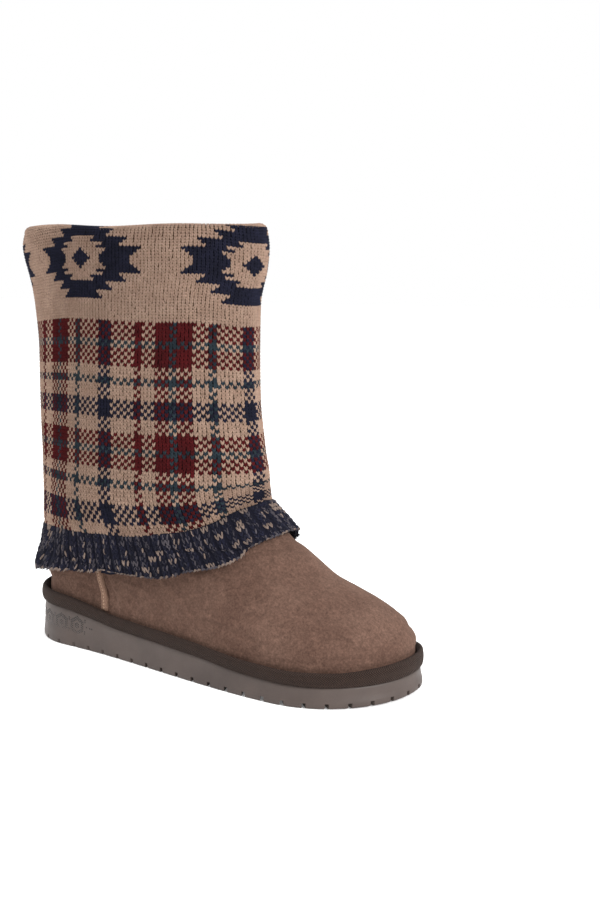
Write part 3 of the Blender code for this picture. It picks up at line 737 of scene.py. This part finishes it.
def make_binding(looks):
    """The ribbon round the rand: flat below, rolled over at its top edge."""
    columns = 600
    turns = even_turns(columns)
    profile = [(0.30, 0.00), (0.60, 0.00), (0.80, 0.03), (0.93, 0.12), (1.01, 0.27), (1.04, 0.44),
               (1.03, 0.60), (0.98, 0.72), (0.95, 0.755), (0.97, 0.80), (0.92, 0.89), (0.81, 0.97),
               (0.66, 1.01), (0.50, 1.0), (0.34, 0.94), (0.20, 0.86), (0.05, 0.80), (0.0, 0.5), (0.0, 0.0)]
    wavy = sum(a * np.sin(2 * pi * (k * turns + p)) for k, a, p in
               ((5, 0.10, 0.2), (11, 0.07, 0.6), (23, 0.05, 0.1)))
    rows = []
    for across_, up in profile:
        outset = across_ * BINDING_WIDTH - BINDING_INSET
        row = sole_ring(turns, outset, lambda x: seat(x) + GAP + up * (binding_height(x) - GAP))
        row[:, 2] += wavy * up
        rows.append(row)
    rows = np.array(rows)
    closed = np.concatenate((rows, rows[:, :1]), axis=1)
    u = along_rows(closed)[6]
    v = np.concatenate(([0], np.cumsum(np.linalg.norm(np.diff(rows[:, 0], axis=0), axis=1))))
    uv = np.stack((np.broadcast_to(u, closed.shape[:2]), np.broadcast_to(v[:, None], closed.shape[:2])), axis=2)
    quads = grid_quads(len(rows), columns + 1, close_rows=True, close_columns=False)
    piece("rand_binding", closed, quads, [looks["ribbon"]], uv=uv.reshape(-1, 2),
          replaces=["binding"], flip=True)


# Upper

def strip_turn(face, side):
    """Turn of a side seam and millimetres for each turn there, as in the source."""
    turns = np.linspace(0, 0.5, 400) if side == OUTER else np.linspace(1, 0.5, 400)
    level = face.level_at_height([turns[100]], seat(STRIP_PLACE) + 2 * BINDING_HEIGHT)[0]
    line = face.points(turns, level, 0)
    turn = float(np.interp(STRIP_PLACE, line[:, 0], turns))
    around = np.linalg.norm(line[101] - line[100]) / abs(turns[101] - turns[100])
    return turn, around


def suede_relief(turns, levels, seams):
    """Soft dents and swells of the suede, in millimetres along the normal."""
    waves = ((3, 5.0, 0.10, 0.30), (5, 9.0, 0.55, 0.26), (8, 14.0, 0.3, 0.18), (13, 19.0, 0.8, 0.12))
    relief = sum(a * np.sin(2 * pi * (k * turns + p)) * np.cos(2 * pi * (m * levels + 2 * p))
                 for k, m, p, a in waves)
    for turn, around in seams:
        away = np.abs((turns - turn + 0.5) % 1 - 0.5) * around
        relief -= 0.75 * bell(away, STRIP_WIDTH / 2 + 0.6, 1.3) * (levels < 0.6)
        relief += 0.35 * bell(away, 8.0, 4.0)
    return relief * ease(levels, 0.03, 0.12)


def make_upper(face, looks, seams):
    columns = 500
    turns = even_turns(columns)
    levels = np.concatenate((np.linspace(0, 0.62, 110), np.linspace(0.65, 1, 14)))
    outside, inside = [], []
    for level in levels:
        relief = suede_relief(turns, np.full(columns, level), seams)
        outside.append(face.points(turns, level, relief * (level < 0.63)))
    for level in levels[::-2]:
        inside.append(face.points(turns, level, -WALL / 2))
    for line in (outside[0], inside[-1]):
        line[:, 2] = seat(line[:, 0]) + GAP
    rows = np.array(outside + inside)
    piece("suede_foot", rows, grid_quads(len(rows), columns, close_rows=True), [looks["suede"]],
          replaces=["upper"], flip=True)
    turns = even_turns(180)
    rows = [face.points(turns, level, -WALL / 2 - 0.05) for level in levels[::6]]
    rng = np.random.default_rng(11)
    for level in levels[::-3]:
        fluff = rng.normal(0, 0.18, len(turns))
        rows.append(face.points(turns, level, -WALL + fluff))
    for line in (rows[0], rows[-1]):
        line[:, 2] = seat(line[:, 0]) + GAP
    rows = np.array(rows)
    piece("fleece_lining", rows, grid_quads(len(rows), len(turns), close_rows=True), [looks["fleece"]],
          flip=True)


def make_insole(face, looks):
    turns = even_turns(180)
    rng = np.random.default_rng(12)
    base = face.points(turns, 0, -WALL - GAP)
    base[:, 2] = seat(base[:, 0]) + GAP
    edge = face.points(turns, face.level_at_height(turns, seat(base[:, 0]) + GAP + INSOLE_THICKNESS), -WALL - GAP)
    edge[:, 2] = seat(edge[:, 0]) + GAP + INSOLE_THICKNESS
    rows = [base, edge]
    middle = np.stack((edge[:, 0], 0 * edge[:, 1] + np.interp(edge[:, 0], (150, 275), (0, TOE_TURN)), edge[:, 2]), axis=1)
    for share in np.linspace(0.04, 0.97, 18):
        row = edge + (middle - edge) * share
        dish = INSOLE_DISH * ease(share, 0, 0.6)
        row[:, 2] = seat(row[:, 0]) + GAP + INSOLE_THICKNESS - dish + rng.normal(0, 0.12, len(turns))
        rows.append(row)
    rows = np.array(rows)
    columns = len(turns)
    faces = grid_quads(len(rows), columns).tolist()
    faces += across((len(rows) - 1) * columns, columns, flip=False)
    faces += across(0, columns, flip=True)
    piece("footbed", rows, faces, [looks["fleece"]], replaces=["insole"])


STRIP_LEAN = 6.5


def make_strip(name, node, side, face, looks, seam):
    """A raised suede strip, its edges turned in, and a line of stitches down it."""
    turn, around = seam
    base_z = seat(STRIP_PLACE) + binding_height(STRIP_PLACE) + GAP
    low = face.climb_at([turn], face.level_at_height([turn], base_z))[0]
    high = face.climb_at([turn], face.level_at_height([turn], hem_height([turn])))[0] + STRIP_UNDER_HEM
    half = STRIP_WIDTH / 2
    across_ = np.array([-1.0, -0.98, -0.86, -0.62, -0.34, -0.12, 0.0, 0.12, 0.34, 0.62, 0.86, 0.98, 1.0])
    lift = np.array([-0.15, 0.45, 0.82, 0.98, 0.94, 0.76, 0.70, 0.76, 0.94, 0.98, 0.82, 0.45, -0.15])
    steps = 60
    rows = []
    for up in np.linspace(0, 1, steps):
        pull = 1 + 0.05 * np.sin(up * 40) * (np.abs(across_) > 0.8)
        lean = side * STRIP_LEAN * (1 - ease(up, 0.3, 0.95))
        at = turn + (half * across_ * pull + lean) / around
        levels = face.level_at_climb(at, low + up * (high - low))
        rows.append(face.points(at, levels, GAP * 0.3 + STRIP_HEIGHT * lift))
    rows = np.array(rows)
    piece(name, rows, grid_quads(steps, len(across_), close_columns=False), [looks["strip"]],
          replaces=[node], flip=(side == OUTER))
    pitch, points, faces = 2.4, [], []
    for k in range(int((high - low) / pitch) - 1):
        middle = low + (k + 0.5) * pitch
        for s in np.linspace(-0.5, 0.5, 7):
            climb = middle + s * pitch * 0.84
            rise = STRIP_HEIGHT * 0.74 + 0.35 * np.cos(pi * s)
            fat = 0.42 * np.sqrt(max(1 - (2 * s) ** 2 * 0.8, 0.05))
            for a in np.linspace(0, 2 * pi, 8, endpoint=False):
                lean = side * STRIP_LEAN * (1 - ease((climb - low) / (high - low), 0.3, 0.95))
                at = np.array([turn + (np.cos(a) * fat + 0.25 * s + lean) / around])
                level = face.level_at_climb(at, climb)
                points.append(face.points(at, level, rise + np.sin(a) * fat * 0.8)[0])
    points = np.array(points)
    count = len(points) // 56
    quads = grid_quads(7, 8)
    faces = np.concatenate([quads + 56 * k for k in range(count)])
    piece(name + "_stitches", points, faces, [looks["thread"]], flip=(side == OUTER))


# Knitting

# Place of the stitch columns round the shaft at STRIPE_HEIGHT: turn, column
STRIPE_HEIGHT = 208.0
COLUMNS_ROUND = 186
COLUMN_PLACES = np.array([
    (0.058, -60.0), (0.109, -50.3), (0.142, -45.0), (0.164, -40.0), (0.209, -30.0), (0.265, -20.0),
    (0.325, -10.0), (0.380, 0.0), (0.438, 10.0), (0.495, 20.0), (0.560, 32.0), (0.80, 78.0),
    (1.058, 126.0),
])
# How far the columns lean back towards the rib: turn, lean over LEAN_HEIGHT
LEAN_HEIGHT = 113.0
LEAN = np.array([(0.0, 0.022), (0.12, 0.036), (0.26, 0.023), (0.38, 0.012), (0.5, 0.0), (0.75, 0.0), (1.0, 0.022)])
# How the rows rise and fall round the shaft: turn, height
ROW_DROOP = np.array([(0.0, -4.0), (0.10, -2.5), (0.142, -0.9), (0.223, 1.4), (0.345, 0.0), (0.41, 0.0),
                      (0.50, -3.5), (0.60, -3.0), (0.75, 0.0), (0.9, -2.0), (1.0, -4.0)])
CHECK_TOP = 216.6
CHECK_ROW = 2.286
PLAIN_ROW = 1.81
LOOSE_ROWS = 14

# Rows of the check from its top: red, teal, navy or plain, and how many
BANDS = (("red", 5), ("teal", 2), ("red", 5), ("", 3), ("teal", 2), ("", 4), ("navy", 5), ("", 4),
         ("red", 4), ("teal", 2), ("red", 4), ("", 3), ("teal", 2), ("", 4), ("navy", 5), ("", 3))
# Columns of the check from a repeat's start, which lies on the pair of red stripes
STRIPES = (("teal", 1), ("red", 4), ("", 4), ("teal", 2), ("", 7), ("navy", 4), ("", 7), ("red", 2),
           ("", 4), ("red", 4), ("teal", 1))
COLOURS = ("beige", "navy", "red", "teal")
SEAM_COLUMN = 76

# The stepped star, by rows from its middle: half width, inner opening and core
STAR_OUT = (15, 15, 16, 17, 18, 12, 13, 14, 8, 9, 10, 5, 6, 7)
STAR_OPEN = (6, 6, 7, 8, 5, 7, 3, 4)
STAR_CORE = (3, 2, 1, 0)
STAR_COLUMNS = (-73, -29, 19, 71)
STAR_ROWS_UP = 20


def listed(pairs):
    return [COLOURS.index(name) if name else 0 for name, count in pairs for _ in range(count)]


def stitch_colours(rows):
    """Colour index of each stitch: rows from the rib up, columns from the seam round."""
    bands, stripes = listed(BANDS)[::-1], listed(STRIPES)
    columns = np.arange(COLUMNS_ROUND) + SEAM_COLUMN - COLUMNS_ROUND
    colours = np.zeros((rows, COLUMNS_ROUND), int)
    down = np.array([stripes[c % len(stripes)] for c in columns])
    for r in range(len(bands)):
        even = (columns + r) % 2 == 0
        colours[r] = np.where(even, down, bands[r])
    middle = len(bands) + STAR_ROWS_UP
    for star in STAR_COLUMNS:
        for r in range(-len(STAR_OUT) + 1, len(STAR_OUT)):
            away, k = np.abs(columns - star), abs(r)
            solid = away <= STAR_OUT[k]
            if k < len(STAR_OPEN):
                solid &= away > STAR_OPEN[k]
            if k < len(STAR_CORE):
                solid |= away <= STAR_CORE[k]
            if 0 <= middle + r < rows:
                colours[middle + r][solid] = 1
    return colours


def column_turn(column, z):
    """Turn of a stitch column at a height."""
    places = COLUMN_PLACES[:, ::-1]
    first = places[0, 0]
    column = np.asarray(column, float)
    loops = np.floor((column - first) / COLUMNS_ROUND)
    turn = curve(places, column - loops * COLUMNS_ROUND) + loops
    lean = curve(LEAN, turn % 1)
    return turn - lean * (STRIPE_HEIGHT - z) / LEAN_HEIGHT


def cover_swell(turns, z, rim):
    """Folds and waves of the knitted cover, in millimetres along the normal."""
    over_rib = z - rib_top_height(turns)
    front = bell(turns % 1, 0.47, 0.085)
    swell = 2.3 * front * bell(over_rib, 19.0, 9.0)
    swell += 0.9 * bell(turns % 1, 0.40, 0.07) * bell(over_rib, 28.0, 6.0)
    swell -= 0.8 * bell(over_rib, 0.0, 3.5) + 2.2 * front * bell(over_rib, 0.0, 7.0)
    below_rim = rim - z
    puff = 1.9 + 1.7 * bell((turns + 0.42) % 1, 0.5, 0.13)
    swell += puff * bell(below_rim, 8.0, 16.0) * ease(below_rim, -14, 9)
    swell += 0.6 * ease(z, 120, 200)
    turning = 2 * pi * turns
    swell += 0.35 * np.sin(3 * turning + 0.9) * np.sin(z / 23 + 1.0)
    swell += 0.25 * np.sin(7 * turning + 2.0) * np.sin(z / 14 + 0.4)
    return swell


class Cover:
    """The cover's outer face from the rib over the rim and down inside, as a fine grid."""

    def __init__(self, face, depth):
        self.columns = 2 * COLUMNS_ROUND
        column = SEAM_COLUMN - COLUMNS_ROUND + np.arange(self.columns) / 2
        steps = 96
        base = column_turn(column, np.full(self.columns, STRIPE_HEIGHT))
        low_z = rib_top_height(base)
        climb = face.climb_at(base, face.level_at_height(base, low_z)) - 1.2
        low = face.level_at_climb(base, climb)
        rows, knit = [], depth
        for k in range(steps):
            up = k / (steps - 1)
            z_guess = face.read(face.grid[..., 2], base, low + (1 - low) * up)
            turns = column_turn(column, z_guess)
            rib_z = rib_top_height(turns)
            low_here = face.level_at_height(turns, rib_z - 1.2)
            level = low_here + (1 - low_here) * up
            off = GAP + ankle_slack(turns) * (1 - up) ** 3 + knit
            rim = face.read(face.grid[..., 2], turns, np.ones(len(turns)))
            z = face.read(face.grid[..., 2], turns, level)
            rows.append(face.points(turns, level, off + cover_swell(turns, z, rim)))
            last = turns
        outer_rows = len(rows)
        collar = face.points(last, 1.0, 0)
        inward = face.points(last, 1.0, -1) - collar
        start = ((rows[-1] - collar) * -inward).sum(axis=1)[:, None]
        end = WALL + GAP + knit
        fold_half, fold_middle = (start + end) / 2, (end - start) / 2
        rim_wave = 0.8 * np.sin(2 * pi * (2 * last + 0.15)) + 0.5 * np.sin(2 * pi * (5 * last + 0.4))
        for angle in np.radians(np.arange(15, 181, 15)):
            points = collar + inward * (fold_middle - fold_half * np.cos(angle))
            lift = (knit + GAP + 1.5 + rim_wave) * np.sin(angle) ** 0.85
            points[:, 2] = collar[:, 2] + lift
            rows.append(points)
        high = face.climb_at(last, np.ones(len(last)))
        for down in np.linspace(0.04, 1, 24):
            level = face.level_at_climb(last, high - down * TURN_IN)
            rows.append(face.points(last, level, -(WALL + GAP + knit)))
        grid = np.array(rows)
        walked = np.linalg.norm(np.diff(grid, axis=0), axis=2)
        walked = np.concatenate((np.zeros((1, self.columns)), np.cumsum(walked, axis=0)))
        self.rows_total, self.grid = None, None
        droop = curve(ROW_DROOP, last % 1)
        check_rows = sum(count for _, count in BANDS)
        places = []
        for c in range(self.columns):
            z = np.maximum.accumulate(grid[:outer_rows, c, 2])
            s = walked[:outer_rows, c]
            fixed = check_rows - LOOSE_ROWS
            fade = 1 - np.arange(fixed + 1) / fixed
            z_rows = CHECK_TOP - CHECK_ROW * np.arange(fixed + 1) + droop[c] * fade
            upper = np.interp(z_rows, z, s)[::-1]
            loose = np.linspace(0, upper[0], LOOSE_ROWS + 1)[:-1]
            ends = walked[-1, c]
            above = upper[-1] + PLAIN_ROW * np.arange(1, 200)
            places.append(np.concatenate((loose, upper, above[above < ends])))
        count = min(len(p) for p in places)
        self.rows = count - 1
        fine = []
        for c in range(self.columns):
            edges = places[c][:count]
            s = np.interp(np.arange(2 * self.rows + 1) / 2, np.arange(count), edges)
            fine.append(np.stack([np.interp(s, walked[:, c], grid[:, c, i]) for i in range(3)], axis=1))
        self.fine = np.array(fine).transpose(1, 0, 2)
        round_it = np.roll(self.fine, -1, axis=1) - np.roll(self.fine, 1, axis=1)
        normals = np.cross(round_it, np.gradient(self.fine, axis=0))
        normals /= np.linalg.norm(normals, axis=2, keepdims=True)
        middle = self.fine[20].mean(axis=0)
        if ((self.fine[20] - middle) * normals[20]).sum() < 0:
            normals = -normals
        self.normals = normals

    def at(self, column, row, lift):
        """Points on the cover: column and row in stitches, lift along the normal."""
        a = (np.asarray(column, float) * 2) % self.columns
        b = np.clip(np.asarray(row, float) * 2, 0, len(self.fine) - 1.001)
        i, j = a.astype(int) % self.columns, b.astype(int)
        s, t = (a - a.astype(int))[..., None], (b - j)[..., None]
        k = (i + 1) % self.columns

        def read(values):
            low = values[j, i] * (1 - s) + values[j, k] * s
            high = values[j + 1, i] * (1 - s) + values[j + 1, k] * s
            return low * (1 - t) + high * t

        normals = read(self.normals)
        normals /= np.linalg.norm(normals, axis=-1, keepdims=True)
        return read(self.fine) + normals * np.asarray(lift)[..., None]


# A stitch leg from its foot to its head: across and up in stitches, lift and half width in mm
LEG = np.array([
    (0.480, -0.40, -1.20, 0.34),
    (0.405, 0.08, -0.05, 0.47),
    (0.255, 0.62, 0.12, 0.50),
    (0.150, 1.14, -0.80, 0.38),
])


def legs(place, columns, rows, leg, width, rng, edge_drop=0.55, sway=0.05):
    """Points and quads of the two legs of each stitch, as ridged bands."""
    count = len(columns)
    shift = rng.normal(0, sway, (count, 2))
    fat = 1 + rng.normal(0, 0.06, count)
    sets = []
    stations = len(leg)
    for side in (0, 1):
        across_ = leg[:, 0] if side == 0 else 1 - leg[:, 0]
        slope_u = np.gradient(across_) * width
        slope_v = np.gradient(leg[:, 1]) * width
        length = np.hypot(slope_u, slope_v)
        grid = np.zeros((count, stations, 3, 3))
        for k in range(stations):
            for e, edge in enumerate((-1, 0, 1)):
                half = leg[k, 3] * fat * edge
                u = columns + across_[k] + shift[:, 0] + half * slope_v[k] / length[k] / width
                v = rows + leg[k, 1] + shift[:, 1] - half * slope_u[k] / length[k] / width
                lift = leg[k, 2] - (edge_drop if edge else 0.0)
                grid[:, k, e] = place.at(u, v, np.full(count, lift))
        sets.append(grid)
    points = np.stack(sets, axis=1).reshape(-1, 3)
    one = grid_quads(stations, 3, close_columns=False)
    each = stations * 3
    starts = np.arange(count * 2) * each
    quads = (starts[:, None, None] + one[None]).reshape(-1, 4)
    run = np.cumsum(np.concatenate(([0], np.hypot(np.diff(leg[:, 0]), np.diff(leg[:, 1]))))) * width
    uv = np.stack((np.tile([-0.6, 0, 0.6], stations), np.repeat(run, 3)), axis=1)
    uv = np.tile(uv, (count * 2, 1)) + np.repeat(rng.uniform(0, 9, count * 2), each)[:, None]
    return points, quads, uv, len(one)


def make_knitting(face, looks):
    cover = Cover(face, KNIT - 0.25)
    rng = np.random.default_rng(7)
    rows = cover.rows
    colours = stitch_colours(rows)
    parts = (("knit_check_low", 0, 29), ("knit_check_high", 29, 57), ("knit_top", 57, 96),
             ("knit_inside", 96, rows))
    names = ["beige", "navy", "red", "teal"]
    for name, first, last in parts:
        last = min(last, rows)
        r, c = np.meshgrid(np.arange(first, last), np.arange(COLUMNS_ROUND), indexing="ij")
        leg = LEG if first < 96 else LEG[[0, 1, 3]] * (1, 1, 1, 1.0)
        points, quads, uv, each = legs(cover, c.ravel().astype(float), r.ravel().astype(float),
                                       leg, 2.4, rng)
        index = np.repeat(colours[r.ravel(), c.ravel()], 2 * each)
        piece(name, points, quads, [looks[n] for n in names], index=index, uv=uv,
              replaces=["knit_sleeve"])
    # The sheet behind the stitches, in darkened copies of their colours: painted shade in the gaps between the
    # stitches
    r, c = np.meshgrid(np.arange(rows + 1), np.arange(COLUMNS_ROUND), indexing="ij")
    front = cover.at(c.astype(float), r.astype(float), np.full(c.shape, -1.4))
    back = cover.at(c[::4].astype(float), r[::4].astype(float), np.full(c[::4].shape, -KNIT + 0.4))
    front_quads = grid_quads(rows + 1, COLUMNS_ROUND)
    index = colours[front_quads[:, 0] // COLUMNS_ROUND, front_quads[:, 0] % COLUMNS_ROUND]
    piece("knit_shade_sheet", front, front_quads, [looks[n + " shade sheet"] for n in names], index=index)
    piece("knit_shade_sheet_back", back, grid_quads(len(back), COLUMNS_ROUND), [looks["beige shade sheet"]],
          flip=True)


# Rib

RIBS = 62
RIB_ROWS = 8
RIB_COLUMN_PLACES = ((0.27, 0.0), (0.63, 1.0))


class RibFace:
    """The ribbed band's face: column in ribs, row in stitches from the lower edge up."""

    def __init__(self, face):
        self.columns = RIBS * 12
        turns = even_turns(self.columns)
        low = face.climb_at(turns, face.level_at_height(turns, hem_height(turns)))
        high = face.climb_at(turns, face.level_at_height(turns, rib_top_height(turns)))
        self.steps = RIB_ROWS * 4 + 1
        phase = (np.arange(self.columns) / 12) % 1
        ridge = 1.5 * np.clip(np.cos(2 * pi * (phase - 0.53)) * 1.6 + 0.55, -1, 1)
        wave = 0.7 * np.sin(2 * pi * (4 * turns + 0.3)) + 0.5 * np.sin(2 * pi * (9 * turns + 0.1))
        rows = []
        for k in range(self.steps):
            up = k / (self.steps - 1)
            leant = turns - curve(LEAN, turns) * (1 - up)
            level = face.level_at_climb(leant, np.interp(leant, turns, low, period=1)
                                        + up * np.interp(leant, turns, high - low, period=1))
            off = GAP + ankle_slack(leant) + hem_stand_off(leant) * (1 - up) ** FLARE_FALL
            off = off + RIB_THICKNESS - 1.3 + ridge * (1 - 0.45 * up ** 3) * 0.24 + wave * (1 - up) * 0.6
            off = off - 0.3 * up ** 8
            points = face.points(leant, level, off)
            points[:, 2] += wave * (1 - up) * 0.5
            rows.append(points)
        self.fine = np.array(rows)
        round_it = np.roll(self.fine, -1, axis=1) - np.roll(self.fine, 1, axis=1)
        normals = np.cross(round_it, np.gradient(self.fine, axis=0))
        normals /= np.linalg.norm(normals, axis=2, keepdims=True)
        middle = self.fine[8].mean(axis=0)
        if ((self.fine[8] - middle) * normals[8]).sum() < 0:
            normals = -normals
        self.normals = normals

    def at(self, column, row, lift):
        a = (np.asarray(column, float) * 12) % self.columns
        row = np.asarray(row, float)
        b = np.clip(row * 4, 0, self.steps - 1.001)
        i, j = a.astype(int) % self.columns, b.astype(int)
        s, t = (a - a.astype(int))[..., None], (b - j)[..., None]
        k = (i + 1) % self.columns

        def read(values):
            low = values[j, i] * (1 - s) + values[j, k] * s
            high = values[j + 1, i] * (1 - s) + values[j + 1, k] * s
            return low * (1 - t) + high * t

        normals = read(self.normals)
        normals /= np.linalg.norm(normals, axis=-1, keepdims=True)
        points = read(self.fine)
        under = (np.minimum(row, 0) * 3.0)[..., None]
        points = points + (self.fine[1][i] - self.fine[0][i]) * under * 1.3
        return points + normals * np.asarray(lift)[..., None]


RIB_LEG = np.array([
    (0.202, -0.30, -0.9, 0.34),
    (0.180, 0.00, -0.05, 0.46),
    (0.118, 0.40, 0.24, 0.50),
    (0.060, 0.80, -0.05, 0.46),
    (0.044, 1.10, -0.9, 0.34),
])


def make_rib(face, looks):
    """Two knitted columns on each rib, from a yarn of navy and pale plies."""
    place = RibFace(face)
    rng = np.random.default_rng(21)
    shown = rng.uniform(0, 1, (RIB_ROWS, RIBS))
    strength = np.convolve(rng.uniform(0, 1, RIBS + 8), np.ones(9) / 9, "valid")
    row_tone = rng.uniform(-0.10, 0.10, RIB_ROWS)
    sets, starts = [], 0
    points_all, quads_all, uv_all, index_all = [], [], [], []
    names = ["dark", "grey", "pale", "navy"]
    for offset in (0.13, 0.53):
        for side in (0, 1):
            r, c = np.meshgrid(np.arange(RIB_ROWS), np.arange(RIBS), indexing="ij")
            r, c = r.ravel().astype(float), c.ravel().astype(float)
            leg = RIB_LEG.copy()
            leg[:, 0] = offset + (leg[:, 0] if side == 0 else 0.41 - leg[:, 0])
            count = len(r)
            sway = rng.normal(0, 0.012, count)
            sway_v = rng.normal(0, 0.05, count)
            fat = 1 + rng.normal(0, 0.08, count)
            edges = (-1, -0.45, 0.45, 1)
            grid = np.zeros((count, len(leg), len(edges), 3))
            slope_u = np.gradient(leg[:, 0]) * 6.8
            slope_v = np.gradient(leg[:, 1]) * 2.8
            length = np.hypot(slope_u, slope_v)
            for k in range(len(leg)):
                for e, edge in enumerate(edges):
                    half = leg[k, 3] * fat * edge
                    u = c + leg[k, 0] + sway + half * slope_v[k] / length[k] / 6.8
                    v = r + leg[k, 1] + sway_v - half * slope_u[k] / length[k] / 2.8
                    lift = leg[k, 2] - (0.62 if abs(edge) == 1 else 0.0)
                    grid[:, k, e] = place.at(u, v, np.full(count, lift))
            one = grid_quads(len(leg), len(edges), close_columns=False)
            each = len(leg) * len(edges)
            quads = (starts + (np.arange(count) * each)[:, None, None] + one[None]).reshape(-1, 4)
            run = np.linspace(0, 3.4, len(leg))
            uv = np.stack((np.tile(np.array(edges) * 0.8, len(leg)), np.repeat(run, len(edges))), axis=1)
            uv = np.tile(uv, (count, 1)) + np.repeat(rng.uniform(0, 9, count), each)[:, None]
            chance = 0.08 + 0.20 * (strength[c.astype(int)] - 0.3) + row_tone[r.astype(int)]
            pale = shown[r.astype(int), c.astype(int)] < chance
            pale ^= rng.uniform(0, 1, count) < 0.05
            other = rng.uniform(0, 1, count)
            colour = np.where(pale, 2, np.where(other < 0.18, 1, np.where(other < 0.55, 3, 0)))
            index = np.repeat(colour, len(one)).reshape(count, len(one))
            station, lane = np.arange(len(one)) // (len(edges) - 1), np.arange(len(one)) % (len(edges) - 1)
            ply = (station[None] + lane[None] + rng.integers(0, 4, count)[:, None]) % 4 == 0
            swap = np.where(pale[:, None], 1, np.where(other[:, None] < 0.18, 0, 1))
            index = np.where(ply & (rng.uniform(0, 1, count) < 0.35)[:, None], swap, index)
            points_all.append(grid.reshape(-1, 3))
            quads_all.append(quads)
            uv_all.append(uv)
            index_all.append(index.ravel())
            starts += count * each
    piece("rib_stitches", np.concatenate(points_all), np.concatenate(quads_all),
          [looks[n] for n in names], index=np.concatenate(index_all), uv=np.concatenate(uv_all),
          replaces=["rib_hem"])
    # The sheet behind the ribs, turned round the lower edge, in a navy darker than most of the rib's yarns:
    # painted shade between the ribs
    columns = RIBS * 12
    c = np.arange(columns) / 12
    rows = [place.at(c, np.full(columns, up), np.full(columns, -0.5)) for up in np.linspace(0, RIB_ROWS, 25)]
    inner = [place.at(c, np.full(columns, up), np.full(columns, -2.3)) for up in np.linspace(RIB_ROWS, 0.1, 9)]
    rows = np.array(rows + inner)
    piece("rib_shade_sheet", rows, grid_quads(len(rows), columns, close_rows=True), [looks["rib shade sheet"]])
    make_cast_off(place, looks)


def make_cast_off(place, looks):
    """The slanted loops that finish the rib's lower edge."""
    count = RIBS * 3
    rng = np.random.default_rng(22)
    stations, around = 6, 6
    points = []
    for k in range(count):
        at = k / 3 + rng.normal(0, 0.02)
        fat = 0.62 + rng.normal(0, 0.05)
        for s in np.linspace(0, 1, stations):
            u = at + 0.36 * s
            v = -0.22 + 0.34 * np.sin(pi * s) * 0.6 + 0.25 * (s - 0.5)
            size = fat * (0.45 + 0.55 * np.sin(pi * min(max(s, 0.04), 0.96)))
            for a in np.linspace(0, 2 * pi, around, endpoint=False):
                points.append((u, v + np.sin(a) * size / 2.8, -0.35 + np.cos(a) * size * 0.8))
    points = np.array(points)
    world = place.at(points[:, 0], points[:, 1], points[:, 2])
    one = grid_quads(stations, around)
    each = stations * around
    quads = ((np.arange(count) * each)[:, None, None] + one[None]).reshape(-1, 4)
    tone = rng.uniform(0, 1, count)
    colour = np.where(tone < 0.42, 2, np.where(tone < 0.75, 1, 0))
    uv = np.tile(np.stack((np.tile(np.linspace(0, 2, around), stations),
                           np.repeat(np.linspace(0, 3, stations), around)), axis=1), (count, 1))
    piece("rib_edge", world, quads, [looks[n] for n in ("dark", "grey", "pale")],
          index=np.repeat(colour, len(one)), uv=uv)


# Room

def make_room():
    floor_look = Look("floor", (250, 250, 250), 0.9, specular=0.1)
    floor_look.shader.inputs["Emission Color"].default_value = (1, 1, 1, 1)
    floor_look.shader.inputs["Emission Strength"].default_value = 0.12
    floor_look.bump(floor_look.noise(60, 1), 0.02)
    mesh = bpy.data.meshes.new("floor")
    size = 6.0
    mesh.from_pydata([(-size, -size, 0), (size, -size, 0), (size, size, 0), (-size, size, 0)], [],
                     [(0, 1, 2, 3)])
    mesh.materials.append(floor_look.made)
    floor = bpy.data.objects.new("floor", mesh)
    bpy.context.scene.collection.objects.link(floor)
    world = bpy.data.worlds.new("studio")
    world.use_nodes = True
    world.node_tree.nodes["Background"].inputs["Color"].default_value = (1.0, 1.0, 1.0, 1)
    world.node_tree.nodes["Background"].inputs["Strength"].default_value = 1.0
    bpy.context.scene.world = world
    middle = Vector((0.08, 0, 0.12))
    for name, place, size, power in (
            ("key", (2.0, -0.4, 1.15), 0.9, 50),
            ("left", (-1.5, -0.5, 1.1), 0.9, 22),
            ("top", (-0.2, 0.9, 2.0), 1.2, 16)):
        light = bpy.data.lights.new(name, "AREA")
        light.shape, light.size, light.energy = "DISK", size, power
        lamp = bpy.data.objects.new(name, light)
        lamp.location = place
        lamp.rotation_euler = (middle - Vector(place)).to_track_quat("-Z", "Y").to_euler()
        bpy.context.scene.collection.objects.link(lamp)
    scene = bpy.context.scene
    scene.view_settings.view_transform = "Standard"
    scene.view_settings.look = "None"
    scene.view_settings.exposure = 0.0


def make_camera():
    data = bpy.data.cameras.new("camera")
    data.sensor_width = 36
    data.lens = 46.07
    data.clip_start = 0.01
    camera = bpy.data.objects.new("camera", data)
    camera.location = (0.5282, -0.5801, 0.2496)
    look = Vector((-0.5265, 0.8354, -0.1575))
    camera.rotation_euler = look.to_track_quat("-Z", "Y").to_euler()
    bpy.context.scene.collection.objects.link(camera)
    bpy.context.scene.camera = camera


face = OuterFace()
looks = make_looks()
seams = [strip_turn(face, side) for side in (OUTER, INNER)]
make_sole(looks)
make_rosettes(looks)
make_binding(looks)
make_upper(face, looks, seams)
make_insole(face, looks)
make_strip("seam_strip_outer", "seam_strip_lateral", OUTER, face, looks, seams[0])
make_strip("seam_strip_inner", "seam_strip_medial", INNER, face, looks, seams[1])
make_knitting(face, looks)
make_rib(face, looks)
make_room()
make_camera()
